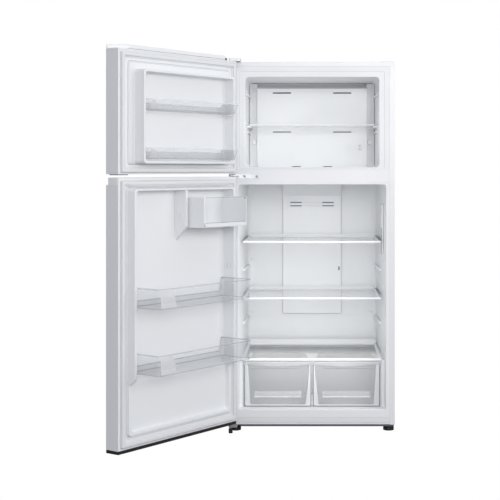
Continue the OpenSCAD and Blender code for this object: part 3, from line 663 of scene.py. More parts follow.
def fridge_liner():
    flange = rectangle((-FLANGE, FLANGE), (SILL_HIGH + 0.3, RAIL_LOW - 0.25))
    mouth = rectangle((-FRIDGE_HALF, FRIDGE_HALF), (FRIDGE_FLOOR, FRIDGE_CEILING))
    far_half = FRIDGE_HALF - FRIDGE_DRAFT
    deep = rectangle((-far_half, far_half), (FRIDGE_FLOOR, FRIDGE_CEILING))
    centre = rectangle((-250, 250), (FRIDGE_FLOOR + 80, FRIDGE_CEILING - 80))
    loops = [(flange, 1.0, 2.4), (flange, 1.0, 0.0), (mouth, 15, 0.0), (deep, 15, 585), (centre, 5, 585)]
    rings = [lift(rounded_loop(box, r, 6), back(depth)) for box, r, depth in loops]
    height = rings[3][:, 2]
    ceiling_fillet = 22 + 40 * np.clip((height - 1100) / 20, 0, 1)
    reaches = [0, 0.9, 4, ceiling_fillet, 0]
    parts = [(*skin(blend_rings(rings, reaches, 6), "rows"), LINER)]
    piece("fridge_lining", "cabinet", parts, ["fridge_liner"], wall=2.0,
          facing=Vector((0, -1, 0)))
    trims = []
    for side in (-1, 1):
        for z in (459, 586, 714, 849):
            trims.append((*shelf_ledge(z, side), LINER))
        step = sorted((side * STEP_HALF, side * (FRIDGE_HALF + 1)))
        trims.append((*pad(step, (back(73), back(584)), (FRIDGE_FLOOR - 1, STEP_TOP), 7, 3, "Z"), LINER))
        for z in (482, 613, 741, 870):
            trims.append((*boss(side * 300, z, 583), LINER))
    hump = [(back(392), FRIDGE_FLOOR - 1), (back(392), 290), (back(402), 300), (back(584), 300),
            (back(584), FRIDGE_FLOOR - 1)]
    verts = [(x, y, z) for x in (-far_half - 3, far_half + 3) for y, z in hump]
    count = len(hump)
    faces = [tuple(range(count)), tuple(reversed(range(count, 2 * count)))]
    faces += [(i, i + count, (i + 1) % count + count, (i + 1) % count) for i in range(count)]
    trims.append((verts, faces, LINER))
    piece("fridge_wall_details", "cabinet", trims)


def back_covers():
    softened("freezer_air_cover", "freezer_back_cover", "cabinet", MOULDED, 1.2, 0.3)
    softened("fridge_air_duct", "fridge_duct_cover", "cabinet", MOULDED, 1.5, 0.3)
    trims = [(*pad((-267, 267), (back(385.4), back(430)), (1206.6, 1222), 1, 0.6), MOULDED)]
    for side in (-1, 1):
        panel = sorted((side * 267.4, side * 304))
        trims.append((*pad(panel, (back(404), back(431)), (1207, 1615), 3, 2), MOULDED))
        for x in (283, 287.5, 292):
            ridge = sorted((side * (x - 1), side * (x + 1)))
            trims.append((*pad(ridge, (back(401.5), back(406)), (1226, 1598), 0.9, 0.5), MOULDED))
        # A thin grey line beside the raised centre is painted shade.
        groove_shade = sorted((side * 267.2, side * 269))
        trims.append((*pad(groove_shade, (back(402.5), back(404.5)), (1210, 1590), 0.4, 0.2), PAINTED_CREASE_SHADE))
        button = sorted((side * 272, side * 292))
        trims.append((*pad(button, (back(396), back(406)), (1318, 1342), 5, 3), MOULDED))
        # Dark strips at the cover's slits: painted shade inside the slits.
        for x, z, depth in (((102.4, 191.6), (1566, 1571), 388), ((102.4, 191.6), (1376, 1380), 388),
                            ((55, 98), (1207.6, 1211), 384.9)):
            slot = sorted((side * x[0], side * x[1]))
            trims.append((*pad(slot, (back(depth), back(depth + 0.8)), z, 1.2, 0.2), PAINTED_SLIT_SHADE))
    lines = []
    for side in (-1, 1):
        # Grey lines along the duct cover's sides and bottom: painted shadow at its edges.
        edge = sorted((side * 146.4, side * 147.8))
        lines.append((*pad(edge, (back(577), back(583)), (474, 1058), 0.6, 0.3), PAINTED_CREASE_SHADE))
        # The duct's two slots are painted shade.
        for z in (1012.6, 1029.2):
            slot = sorted((side * 51.6, side * 109.4))
            lines.append((*pad(slot, (back(577.4), back(578.2)), (z - 2.4, z + 2.4), 1.2, 0.2), PAINTED_LENS_AND_SLOT_SHADE))
    lines.append((*pad((-146, 146), (back(577), back(583)), (470.4, 471.8), 0.6, 0.3), PAINTED_CREASE_SHADE))
    # The small dark clip on the duct is painted shade.
    lines.append((*pad((131, 139), (back(569.6), back(573.5)), (689, 708), 3, 1.2), PAINTED_LENS_AND_SLOT_SHADE))
    piece("fridge_duct_shade_lines", "cabinet", lines)
    piece("freezer_cover_details", "cabinet", trims)
    low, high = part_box("air_control")
    x, z = (low.x / MM, high.x / MM), (low.z / MM, high.z / MM)
    knob = pad(x, (low.y / MM, low.y / MM + 6), z, 3, 1.2)
    grip = pad((x[0] + 5, x[1] - 5), (low.y / MM - 0.0, low.y / MM + 3), (z[0] + 6, z[1] - 6), 1.5, 0.6)
    stem = pad((x[0] + 4.8, x[1] - 4.8), (low.y / MM + 5, high.y / MM), (z[0] + 5, z[1] - 5), 0.8, 0.3)
    piece("air_slider", "air_control",
          [(*knob, MOULDED), (*grip, GREY_TRIM_AND_GRIP_SHADE), (*stem, MOULDED)], ["air_control"])


def side_lamp():
    low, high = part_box("side_lamp")
    y, z = (low.y / MM, high.y / MM), (low.z / MM, high.z / MM)
    face = low.x / MM
    body = pad((face + 1.5, high.x / MM), y, z, 10, 1.2, "X")
    # The lens bar and the dash are painted shade, the dark bar where the lamp cover lies in shadow.
    lens = pad((face, face + 3), (y[0] + 0.5, y[1] - 5), (z[0] + 2, z[0] + 125), 6, 1.0, "X")
    dash = pad((face, face + 3), (y[0] + 6, y[1] - 20), (z[1] - 7, z[1] - 3), 1.9, 0.8, "X")
    parts = [(*body, MOULDED), (*lens, PAINTED_LENS_AND_SLOT_SHADE), (*dash, PAINTED_LENS_AND_SLOT_SHADE)]
    # Every third grille hole is painted shade, the rest are liner white.
    for row in range(10):
        level = z[0] + 140 + row * 8.4
        for column in range(6):
            start = y[0] + 5 + column * 11 + (row % 2) * 3
            hole = pad((face + 0.6, face + 3), (start, start + 7), (level, level + 4), 1.9, 0.4, "X")
            parts.append((*hole, PAINTED_LENS_AND_SLOT_SHADE if (row + column) % 3 == 0 else LINER))
    piece("side_lamp_grille", "cabinet", parts, ["side_lamp"])


# ---- Hinges, feet and fittings ----

def fittings():
    softened("top_hinge_plate", "top_hinge", "cabinet", STEEL, 0.7, 0.5)
    softened("centre_hinge_plate", "centre_hinge", "cabinet", STEEL, 0.6, 0.5)
    softened("bottom_hinge_plate", "bottom_hinge", "cabinet", STEEL, 0.6, 0.5)
    softened("top_hinge_cap", "top_hinge_cover", "cabinet", MOULDED, 1.4, 1.4)
    softened("corner_button", "corner_cap", "cabinet", MOULDED, 1.2, 1.2)
    screws = []
    head = [(0, 2.5), (6, 2.5), (6, 1.0), (4.8, -0.1), (2.6, -0.5), (2.4, 0.9), (0, 0.9)]
    for x in (-308, -252):
        screws.append((*lathe(head, (x, FRONT - 5.3, 1164), "Y", 28), STEEL))
        screws.append((*lathe([(3.1, 0), (3.1, 5)], (x, FRONT - 3.1, 1164), "Y", 20), STEEL))
        # The dark cross on each screw head is painted shade in the screw's slot.
        for turn in (0, 90):
            slot = pad((-1.9, 1.9), (0, 0.5), (-0.45, 0.45), 0.3, 0.1)
            spun = Matrix.Rotation(math.radians(turn), 3, "Y")
            verts = [spun @ Vector(v) + Vector((x, FRONT - 4.7, 1164)) for v in slot[0]]
            screws.append((verts, slot[1], PAINTED_GAP_SHADE))
    for x in (-308, -284):
        profile = [(0, -5.5), (4.6, -5.5), (6, -4.2), (6, -3), (3.1, -3), (3.1, 0), (0, 0)]
        screws.append((*lathe(profile, (x, FRONT + 45, CABINET_BOTTOM), "Z", 28), STEEL))
    for x in (-356, -336):
        profile = [(0, 0), (6, 0), (6, 1.5), (4.6, 3.0), (0, 3.5)]
        screws.append((*lathe(profile, (x, FRONT + 36, CABINET_TOP + 4), "Z", 28), STEEL))
    piece("hinge_screw_set", "cabinet", screws, ["hinge_screws"])


def foot(name, node, body, radius, height, stem):
    low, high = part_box(node)
    x, y = (low.x + high.x) / 2 / MM, (low.y + high.y) / 2 / MM
    ribs = [(0, 0), (radius - 3, 0), (radius - 0.8, 0.8), (radius, 3), (radius, height * 0.4),
            (radius - 1.2, height * 0.45), (radius - 1.2, height * 0.55), (radius, height * 0.6),
            (radius, height - 4), (radius - 1.2, height - 1.2), (radius - 4, height), (stem, height),
            (stem, high.z / MM), (0, high.z / MM)]
    verts, faces = lathe(ribs, (x, y, 0), "Z", 48)
    piece(name, body, [(verts, faces, BLACK_PLASTIC)], [node])


def roller(name, node, body):
    low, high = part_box(node)
    y, z = (low.y + high.y) / 2 / MM, (low.z + high.z) / 2 / MM
    x0, x1 = low.x / MM, high.x / MM
    radius = (high.z - low.z) / 2 / MM
    bore = 4.05
    width = x1 - x0
    profile = [(bore, 0), (bore + 2.5, 0), (bore + 2.5, 2), (radius - 3, 2), (radius - 3, 0),
               (radius - 1, 0),
               (radius, 1.2), (radius, width - 1.2), (radius - 1, width), (radius - 3, width),
               (radius - 3, width - 2), (bore + 2.5, width - 2), (bore + 2.5, width), (bore, width)]
    angles = [2 * math.pi * i / 40 for i in range(40)]
    rings = [np.array([(x0 + h, y + r * math.cos(a), z + r * math.sin(a)) for a in angles]) for r,
             h in profile]
    rings.append(rings[0])
    verts, faces = skin(rings)
    piece(name, body, [(verts, faces, BLACK_PLASTIC)], [node])


def feet():
    foot("left_level_foot", "left_foot", "left_foot", 25, 24, 5)
    foot("right_level_foot", "right_foot", "right_foot", 25, 24, 5)
    foot("hinge_level_foot", "hinge_foot", "hinge_foot", 9.5, 22, 3)
    roller("left_rear_roller", "left_roller", "left_roller")
    roller("right_rear_roller", "right_roller", "right_roller")


# ---- Cooling parts ----

def machine_bay():
    x, y = -190, REAR - 105
    dome = [(0, 56), (48, 57), (66, 62), (77, 72), (80, 84), (80, 121), (83.5, 122.5), (83.5, 129.5),
            (80, 131),
            (80, 168), (76, 181), (66, 191), (48, 199), (24, 203), (0, 204)]
    body = lathe(dome, (x, y, 0), "Z", 64)
    base = pad((x - 105, x + 105), (y - 60, y + 60), (52, 57), 12, 1.5, "Z")
    stub = tube([(x + 70, y, 150), (x + 120, y, 150)], 4, 16)
    piece("compressor_shell", "cabinet",
          [(*body, BLACK_PAINT), (*base, BLACK_PAINT), (*stub, BLACK_PAINT)], ["compressor"])
    refinish("compressor_mounts", RUBBER)
    refinish("condenser_coil", BLACK_PAINT)
    softened("melt_water_pan", "drain_pan", "cabinet", MOULDED, 0.8)
    refinish("drain_tube", BLACK_PLASTIC)
    refinish("cord_inlet", RUBBER)


def cooling():
    refinish("evaporator_coil", ALUMINIUM)
    refinish("defrost_heater", HEATER)
    refinish("fan_motor", BLACK_PLASTIC)
    refinish("evaporator_fan", BLACK_PLASTIC)


# ---- Shelves and crispers ----

def glass_shelf(name, node, trim_node, body, rail, lip, side_finish):
    low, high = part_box(node)
    pane = pad((low.x / MM + 0.5, high.x / MM - 0.5), (low.y / MM, high.y / MM),
               (low.z / MM, high.z / MM),
               4, 0.8, "Z")
    piece(name + "_glass", body, [(*pane, PANE)], [node])
    low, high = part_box(trim_node)
    x, y = (low.x / MM, high.x / MM), (low.y / MM, high.y / MM)
    top = span(node, 2)[1] + 2
    nose = [(y[0] + 1.2, top - rail + 1), (y[0], top - rail * 0.6), (y[0] + 0.3, top - 2.2),
            (y[0] + 1.6, top - 0.6),
            (y[0] + 6, top - 0.6), (y[0] + 7.5, top - 2.2), (y[0] + 7.5, top - rail + 1)]
    front = bar_across(x, nose)
    parts = [(*front, MOULDED)]
    for side in (0, 1):
        sign = 1 if side else -1
        rail_x = sorted((x[side] - sign * 12, x[side] - sign * 4.5))
        strip_x = sorted((x[side] - sign * 5, x[side]))
        parts.append((*pad(rail_x, (y[0] + 9, y[1] - 3), (top - 9, top), 3, 1.2, "Z"), MOULDED))
        parts.append((*pad(strip_x, (y[0] + 9, y[1] - 3), (top - 9, top - 0.4), 2, 1.0, "Z"),
                      side_finish))
    parts.append((*pad(x, (y[1] - 12, y[1]), (top - 9, top), 2.5, 1.0, "X"), MOULDED))
    parts.append((*pad(x, (y[1] - 4, y[1]), (top - 8, top - 4 + lip), 1.8, 1.2, "Y"), MOULDED))
    piece(name + "_rim", body, parts, [trim_node])


def bar_across(x, outline, round_ends=1.2):
    """A bar along X with an outline in depth and height and softened ends."""
    middle = np.array(outline, float).mean(axis=0)
    rings = []
    for where, shrink in ((x[0], 0.86), (x[0] + round_ends * 0.4, 0.96), (x[0] + round_ends, 1.0),
                          (x[1] - round_ends, 1.0), (x[1] - round_ends * 0.4, 0.96), (x[1], 0.86)):
        rings.append(np.array([(where, *(middle + (np.array(p) - middle) * shrink)) for p in outline]))
    return skin(rings, "both")


def freezer_shelf():
    low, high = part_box("freezer_shelf")
    x, y, z = [(low[i] / MM, high[i] / MM) for i in range(3)]
    pane = pad((x[0] + 0.5, x[1] - 0.5), (y[0] + 3, y[1]), (z[0], z[0] + 4), 5, 0.9, "Z")
    nose = [(y[0] + 1.5, z[0]), (y[0], z[0] + 3), (y[0], z[1] - 2), (y[0] + 1.2, z[1]),
            (y[0] + 4.5, z[1]),
            (y[0] + 6, z[0] + 4), (y[0] + 6, z[0])]
    piece("freezer_shelf_plate", "freezer_shelf",
          [(*pane, PANE), (*bar_across(x, nose), FROSTED)], ["freezer_shelf"])


def shelves():
    glass_shelf("upper_shelf", "upper_shelf", "upper_trim", "upper_shelf", 11, 12, GREY_TRIM_AND_GRIP_SHADE)
    glass_shelf("middle_shelf", "middle_shelf", "middle_trim", "middle_shelf", 11, 12, GREY_TRIM_AND_GRIP_SHADE)
    glass_shelf("crisper_lid", "crisper_cover", "cover_trim", "crisper_cover", 13, 26, MOULDED)


def tapered_plan(front, rear, y):
    """A drawer's outline, wider in front than at the back."""
    return [(front[1], y[0]), (rear[1], y[1]), (rear[0], y[1]), (front[0], y[0])]


def crisper_tub(y, z, wall=2.2):
    """The drawer's thin body, with a step low in its sides and a flange round its top."""
    levels = [
        (z[0], (30, 287), (48, 268), 79, 12, 5), (z[0] + 2, (29, 288), (47, 269), 78, 10, 5),
        (128, (27, 290), (45, 271), 77, 4, 8), (158, (25, 292), (43, 274), 77, 4, 10),
        (163, (19, 298), (39, 278), 76, 3, 10), (z[1] - 14, (9, 308), (37, 281), 74, 2, 12),
        (z[1] - 12, (6, 311.5), (34, 284), 73, 0.5, 12), (z[1] - 6, (6, 311.5), (34, 284), 73, 0.5, 12),
    ]

    def ring(level, front, rear, start, off, radius, by):
        plan = tapered_plan((front[0] + by, front[1] - by), (rear[0] + by, rear[1] - by),
                            (back(start) + by, y[1] - off - by))
        return lift(rounded_loop(plan, radius, 6), level, "Z")

    outer = [ring(*entry, 0) for entry in levels]
    inner = [ring(*entry, wall) for entry in reversed(levels[1:])]
    return skin(outer + inner, "both")


def crisper(name, node, side):
    low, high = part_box(node)
    y, z = (low.y / MM, high.y / MM), (low.z / MM + 1, high.z / MM)
    near, far = sorted((abs(low.x / MM), abs(high.x / MM)))
    face = (y[0] + 1.5, y[0] + 8.5)
    outline = rounded_loop(rectangle((near + 2.4, far - 3), (z[0] + 3.2, z[1] - 1)), 4, 8)
    window = [(285, z[0] + 9), (297, z[1] - 6), (10, z[1] - 6), (28.4, z[0] + 9)]
    hole = rounded_loop(window, [8, 2, 2, 8], 8)
    rings = [lift(outline, face[1]), lift(outline, face[0]), lift(hole, face[0]), lift(hole, face[1])]
    border = skin(blend_rings([rings[3]] + rings + [rings[0]], [0, 1, 1.2, 1.2, 1, 0], 3))
    pane = prism(rounded_loop(inset(window, -1.5), 6, 6), (face[0] + 3, face[0] + 5.5), 0.6, "Y")
    rule = pad((55, 283), (face[0] + 2.2, face[0] + 4), (274, 276), 0.8, 0.4)
    arch = [(near + 1 + (far - near - 2) * i / 24, 9 * math.sin(math.pi * i / 24)) for i in range(25)]
    parts = [(*crisper_tub(y, z), TUB), (*border, FROSTED), (*pane, TUB), (*rule, CLEAR_RIM_EDGE_SHADE),
             (*handle_lip(arch, (y[0], y[0] + 9), z[1]), THIN_RIM)]
    # Dark strips along the crisper front's sides and bottom: painted shadow in the gaps round the drawer.
    for edge in ((near + 0.2, near + 2.6), (far - 3.2, far - 0.2)):
        parts.append((*pad(edge, (face[1], face[1] + 3), (z[0] + 0.5, z[1] - 6), 0.6, 0.3), PAINTED_SLIT_SHADE))
    parts.append((*pad((near + 0.2, far - 0.2), (face[1], face[1] + 3), (z[0] + 0.1, z[0] + 3.5), 0.6,
                       0.3), PAINTED_SLIT_SHADE))
    parts = [([(side * x, v, w) for x, v, w in verts], faces, finish) for verts, faces, finish in parts]
    piece(name + "_drawer", node, parts, [node])


def handle_lip(arch, y, top):
    """A lip whose lower edge dips in a shallow curve."""
    rings = []
    for across, dip in arch:
        low = top - 13 - dip
        rings.append(np.array([
            (across, y[1], top - 0.4), (across, y[0] + 1.4, top - 0.4), (across, y[0], top - 2.0),
            (across, y[0], low + 2.0), (across, y[0] + 1.0, low + 0.4), (across, y[0] + 2.4, low),
            (across, y[0] + 3.2, low + 2.4), (across, y[1], low + 4.0),
        ]))
    return skin(rings, "both")


# ---- Door parts ----

def door_wrap(name, node, body):
    """The door's steel sheet: a front and two sides with rounded corners."""
    z0, z1 = span(node, 2)
    depth = (DOOR_OUT, DOOR_IN)
    radius, sheet = 5.0, 1.0
    outline, inside = [], []
    for side in (-1, 1):
        run = range(9) if side < 0 else reversed(range(9))
        ends = [(side * HALF, depth[1])]
        arc = []
        for i in run:
            a = math.radians(90 * i / 8)
            arc.append((side * (HALF - radius + radius * math.cos(a)),
                        depth[0] + radius - radius * math.sin(a)))
        outline += ends + arc if side < 0 else arc + ends
    for side in (-1, 1):
        run = range(9) if side < 0 else reversed(range(9))
        ends = [(side * (HALF - sheet), depth[1])]
        arc = []
        r = radius - sheet
        for i in run:
            a = math.radians(90 * i / 8)
            arc.append((side * (HALF - radius + r * math.cos(a)), depth[0] + radius - r * math.sin(a)))
        inside += ends + arc if side < 0 else arc + ends
    loop = outline + inside[::-1]
    rings = [np.array([(x, y, z) for x, y in loop]) for z in (z0, z1)]
    count = len(outline)
    verts, faces = skin(rings)
    total = len(loop)
    for level in (0, total):
        for i in range(count - 1):
            faces.append((level + i, level + i + 1, level + total - 2 - i, level + total - 1 - i))
    piece(name, body, [(verts, faces, ENAMEL)], [node], door=True, bevel=0.3)


def crease(half, height, radius, plane, width=1.5):
    """A fine line round a moulding, where two surfaces meet: in the crease colour it is painted shade."""
    outer = rounded_loop(rectangle((-half, half), height), radius, 8)
    inner = inset(outer, width)
    return skin([lift(outer, plane), lift(inner, plane)])


def freezer_door_liner():
    z0, z1 = FREEZER_DOOR[0] + 0.2, FREEZER_DOOR[1] - 0.4
    loops = [
        (rectangle((-376.6, 376.6), (z0, z1)), 2, -2.2),
        (rectangle((-376.6, 376.6), (z0, z1)), 2, 0),
        (rectangle((-323.6, 323.6), (1216, 1638)), 12, 0),
        (rectangle((-321.8, 321.8), (1217.5, 1636.5)), 11, 7.5),
        (rectangle((-291.9, 291.9), (1219.1, 1605.9)), 16, 8),
        (rectangle((-291.6, 291.6), (1219.4, 1605.6)), 15.5, 61.9),
        (rectangle((-281.5, 281.5), (1230.5, 1594.5)), 11, 61.9),
        (rectangle((-281, 281), (1231, 1594)), 11, 8),
        (rectangle((-255, 255), (1256, 1568)), 6, 8),
    ]
    reaches = [0, 1.5, 2.0, 2.5, 4.5, 2.6, 2.6, 10, 0]
    rings = [lift(rounded_loop(box, r, 8), rise(w)) for box, r, w in loops]
    made = skin(blend_rings(rings, reaches, 5), "rows")
    piece("freezer_door_lining", "freezer_door", [(*made, LINER)],
          ["freezer_door_liner"],
          door=True, wall=2.0, facing=door_facing())
    lugs = []
    for z in (1238, 1438):
        for side in (-1, 1):
            x = sorted((side * 282, side * 269))
            lugs.append((*pad(x, (rise(7), rise(56)), (z - 8, z - 0.3), 3, 1.2, "X"), LINER))
    piece("freezer_bin_rests", "freezer_door", lugs, door=True)
    # Grey lines round the steps of the moulding: painted shade in its creases.
    lines = [(*crease(325.6, (1214, 1640), 14, rise(0.35)), PAINTED_CREASE_SHADE),
             (*crease(294, (1217, 1608), 18, rise(8.35)), PAINTED_CREASE_SHADE),
             (*crease(319.5, (1220, 1634), 10, rise(8.3), 1.0), PAINTED_CREASE_SHADE)]
    piece("freezer_door_crease_shade", "freezer_door", lines, door=True)


def door_facing():
    """The way that an open door's inner face looks."""
    return Matrix.Rotation(DOOR_TURN, 3, "Z") @ Vector((0, 1, 0))


def smooth_step(t):
    t = np.clip(t, 0, 1)
    return t * t * (3 - 2 * t)


def fridge_door_liner():
    marks = [180, 280, 300, 308, 314, 320, 326, 332, 338, 344, 350, 358, 368, 450, 600, 750, 900, 1040]
    z0, z1 = FRIDGE_SKIN[0] + 0.2, FRIDGE_DOOR[1] - 0.4
    # Each ring: half width and height where the rib is high, the same where it is low, low side, top, corner.
    table = [
        (376.6, -2.2, 376.6, -2.2, z0, z1, 2), (376.6, 0, 376.6, 0, z0, z1, 2),
        (329, 0, 328, 0, 108, 1123, 14), (323, 40, 327, 12, 110, 1116, 15),
        (309.2, 40, 308, 12, 121, 1108, 12), (307, -20, 307.2, -7, 123.5, 1106, 10),
        (284, -20, 284, -7, 150, 1078, 10),
    ]
    rings = []
    for half_high, w_high, half_low, w_low, low, top, corner in table:
        loop = rounded_loop(rectangle((-half_high, half_high), (low, top)), corner, 8, marks)
        share = smooth_step((loop[:, 1] - 316) / 30)
        x = loop[:, 0] * (1 - (1 - share) * (1 - half_low / half_high))
        w = w_low + (w_high - w_low) * share
        rings.append(np.stack([x, DOOR_IN + w, loop[:, 1]], axis=1))
    reaches = [0, 1.5, 3.0, 2.4, 2.4, 9, 0]
    made = skin(blend_rings(rings, reaches, 5), "rows")
    piece("fridge_door_lining", "fridge_door", [(*made, LINER)], ["fridge_door_liner"],
          door=True, wall=2.0, facing=door_facing())
    fridge_door_details()


def divider():
    """The rib between the dairy box and the open side, with a slanted foot."""
    stations = [(893, 0.0), (900, 0.10), (949, 0.97), (953, 1.0), (1104, 1.0), (1112, 1.0)]
    rings = []
    floor, top = -20.5, 40
    for z, grown in stations:
        high = floor + (top - floor) * grown
        near = floor + min(4, (high - floor) * 0.5)
        side = [(-12, floor), (-6, floor + (near - floor) * 0.3), (-4, near),
                (-3.4, high - (high - near) * 0.06),
                (-1, high), (9, high), (11.4, high - (high - near) * 0.06), (12, near),
                (14, floor + (near - floor) * 0.3), (20, floor)]
        rings.append(np.array([(x, rise(w), z) for x, w in side]))
    return skin(rings, "both")


def hook(x, w, z):
    """A hook for a spare bin: a rounded frame with a slot."""
    outer = rounded_loop(rectangle((w, w + 26), (z - 13, z + 13)), 3, 3)
    inner = rounded_loop(rectangle((w + 9, w + 15), (z - 13, z + 8)), 2, 3)
    face = 1 if x[1] > x[0] else -1
    rings = [lift(loop, level, "X") for loop, level in
             ((outer, x[0]), (outer, x[1]), (inner, x[1]), (inner, x[0] + face * 0.5))]
    verts, faces = skin(blend_rings([rings[0]] + rings, [0, 0, 0.8, 0.8, 0], 2), "last")
    return [(v[0], rise(v[1]), v[2]) for v in verts], faces


def fridge_door_details():
    parts = [(*divider(), LINER)]
    for z in (361, 629):
        for side in (-1, 1):
            x = sorted((side * 308, side * 295.5))
            parts.append((*pad(x, (rise(-20), rise(36)), (z - 9, z - 0.3), 3.5, 1.5, "X"), LINER))
    parts.append((*pad((-308, -295.5), (rise(-20), rise(36)), (938, 946.7), 3.5, 1.5, "X"), LINER))
    parts.append((*pad((-14, -3), (rise(-20), rise(18)), (938, 946.7), 3.5, 1.5, "X"), LINER))
    parts.append((*hook((-3.6, -7.4), -4, 1000), LINER))
    parts.append((*hook((-307.5, -303.5), -4, 769), LINER))
    parts.append((*hook((11.6, 15.4), -4, 1000), LINER))
    parts.append((*hook((307.5, 303.5), -4, 769), LINER))
    piece("fridge_door_ribs", "fridge_door", parts, door=True)
    # Grey lines round the steps of the moulding: painted shade in its creases.
    piece("fridge_door_crease_shade", "fridge_door",
          [(*crease(331, (106, 1125), 15, rise(0.35)), PAINTED_CREASE_SHADE),
           (*crease(336, (101, 1130), 17, rise(0.3), 1.0), PAINTED_CREASE_SHADE)], door=True)


def door_seal(name, node, body, z0, z1):
    """The magnetic seal: a ring with a flat foot, a pinched bellows and a rounded lip."""
    profile = [(0, 0.1), (-0.4, 2.2), (3.2, 3.6), (1.6, 5.6), (2.2, 10.2), (6, 11.4), (15, 11.4),
               (18.4, 10.2),
               (18.8, 6), (17, 4.6), (21, 3.4), (24, 2.0), (24, 0.1)]
    rings = []
    for inset, w in profile:
        box = rectangle((-366 + inset, 366 - inset), (z0 + inset, z1 - inset))
        rings.append(lift(rounded_loop(box, max(7 - inset * 0.2, 2), 4), rise(w)))
    rings.append(rings[0])
    verts, faces = skin(rings)
    piece(name, body, [(verts, faces, VINYL)], [node], door=True)


def freezer_door_caps():
    low, high = FREEZER_CAPS
    top, bottom = FREEZER_DOOR[1], FREEZER_DOOR[0]
    deep = (DOOR_OUT, DOOR_IN)
    bush = 7.7
    plate_top = 1687.2
    corners = [(HALF, DOOR_OUT), (310, DOOR_IN), (-300, DOOR_IN), (-300, DOOR_OUT)]
    deck = rounded_loop(corners, [5, 3, 3, 3], 5)
    parts = [
        (*pad((-HALF, -298), deep, (top, top + 3), 5, 1.2, "Z"), MOULDED),
        (*pad((-302, HALF), deep, (top, plate_top), 5, 1.2, "Z"), MOULDED),
        # A dark line under the cap's deck: painted shadow in the gap above the lower plate.
        (*prism(inset(deck, 1.6), (plate_top - 1, plate_top + 2), 0.3), PAINTED_GAP_SHADE),
        (*prism(deck, (plate_top + 0.9, high), 2.2), MOULDED),
        # A black block by the hinge end stands for the dark spot there: painted shade of the hole beside the
        # hinge.
        (*pad((-312, -300.5), (DOOR_IN - 14, DOOR_IN - 1), (top + 2, 1695), 2.5, 1.2, "Z"),
         BLACK_PLASTIC),
        (*pad((-HALF, HALF), deep, (bottom - 5, bottom), 5, 1.6, "Z"), MOULDED),
        # The grey pad under the free end stands for the recessed grip: painted shade of the grip.
        (*pad((312, 375), (DOOR_OUT + 17, DOOR_IN - 7), (low + 0.1, bottom - 4), 3, 0.8, "Z"), GREY_TRIM_AND_GRIP_SHADE),
    ]
    for z in ((top - 24.8, top), (bottom - 2, bottom + 22.8)):
        parts.append((*sleeve(bush, 4.05, z), MOULDED))
    piece("freezer_door_end_caps", "freezer_door", parts, ["freezer_door_caps"],
          door=True)


def sleeve(outer, bore, z):
    """A bushing round the hinge pin."""
    angles = [2 * math.pi * i / 32 for i in range(32)]
    rings = [np.array([(PIN.x + r * math.cos(a), PIN.y + r * math.sin(a), level) for a in angles])
             for r, level in ((bore, z[0]), (outer, z[0]), (outer, z[1]), (bore, z[1]), (bore, z[0]))]
    return skin(rings)


def fridge_door_caps():
    low, high = FRIDGE_DOOR
    skin_low, skin_top = FRIDGE_SKIN
    set_back = DOOR_OUT + 11.6
    parts = [
        (*pad((-HALF, HALF), (set_back, rise(-2.7)), (skin_top, high), 5, 1.6, "Z"), MOULDED),
        (*pad((-HALF, HALF), (DOOR_OUT, rise(-2.7)), (skin_top, skin_top + 2), 5, 0.8, "Z"), MOULDED),
        (*pad((-HALF, HALF), (DOOR_OUT, DOOR_IN), (low, skin_low), 5, 1.8, "Z"), BLACK_PLASTIC),
        (*sleeve(7.7, 4.05, (skin_low - 2, skin_low + 13.8)), BLACK_PLASTIC),
    ]
    piece("fridge_door_end_caps", "fridge_door", parts, ["fridge_door_caps"], door=True)


def bin_plan(x, y, cut):
    """A bin's outline: a straight back with marks near its ends, and two front corners cut off."""
    points = [(x[0], y[0]), (x[0] + 9, y[0]), (x[0] + 21, y[0]), (x[1] - 21, y[0]), (x[1] - 9, y[0]),
              (x[1], y[0])]
    for corner, one, two in (((x[1], y[1]), (0, -1), (-1, 0)), ((x[0], y[1]), (1, 0), (0, -1))):
        for way in (one, two):
            start = np.array(corner) + np.array(way) * cut
            other = two if way == one else one
            away = np.array(way) * 1.2
            turn = np.array(way) - np.array(other)
            pair = [start + away, start - turn / math.sqrt(2) * 1.2]
            points += pair if way == one else reversed(pair)
    return np.array(points)


def door_bin(x, w, z, cuts, taper, back_top, wall=2.2, rim=CLEAR_RIM_EDGE_SHADE):
    """A clear bin: walls that lean in towards a low back, front corners cut wider below, and a thick rim."""
    low, high = z

    def ring(by, cut, level, drop=0.0, front=0.0):
        plan = bin_plan((x[0] + by, x[1] - by), (rise(w[0] + by * 0.3), rise(w[1] - by - front)), cut)
        made = lift(plan, level, "Z")
        made[2:4, 2] -= drop
        return made

    sunk = high - back_top
    outer = [ring(taper + 3, cuts[0], low), ring(taper, cuts[0], low + 3),
             ring(0.9, cuts[1], high - 5, sunk)]
    top = [ring(0.9, cuts[1], high - 5, sunk), ring(0.0, cuts[1], high - 4.4, sunk),
           ring(0.0, cuts[1], high - 0.5, sunk), ring(0.4, cuts[1], high, sunk),
           ring(wall + 0.4, cuts[1], high, sunk), ring(wall + 0.7, cuts[1], high - 1, sunk)]
    inner = [ring(wall + 0.7, cuts[1], high - 1, sunk), ring(taper + wall, cuts[0], low + 5),
             ring(taper + 3 + wall, cuts[0], low + wall)]
    foot = [ring(taper + 2.4, cuts[0], low + 0.2), ring(taper - 0.3, cuts[0], low + 2.6),
            ring(taper + 0.4, cuts[0], low + 4.2)]
    parts = [(*skin(outer, "first"), CLEAR), (*skin(top), rim), (*skin(inner, "last"), CLEAR),
             (*skin(foot), rim)]
    return parts


BIN_TAPER = 3.0
FREEZER_BIN_HALF, FREEZER_BIN_REACH, FREEZER_BIN_CUTS = 277, (10, 101), (27, 10)
FRIDGE_BIN_HALF, FRIDGE_BIN_REACH, FRIDGE_BIN_CUTS = 300, (-18, 155), (15, 12.2)


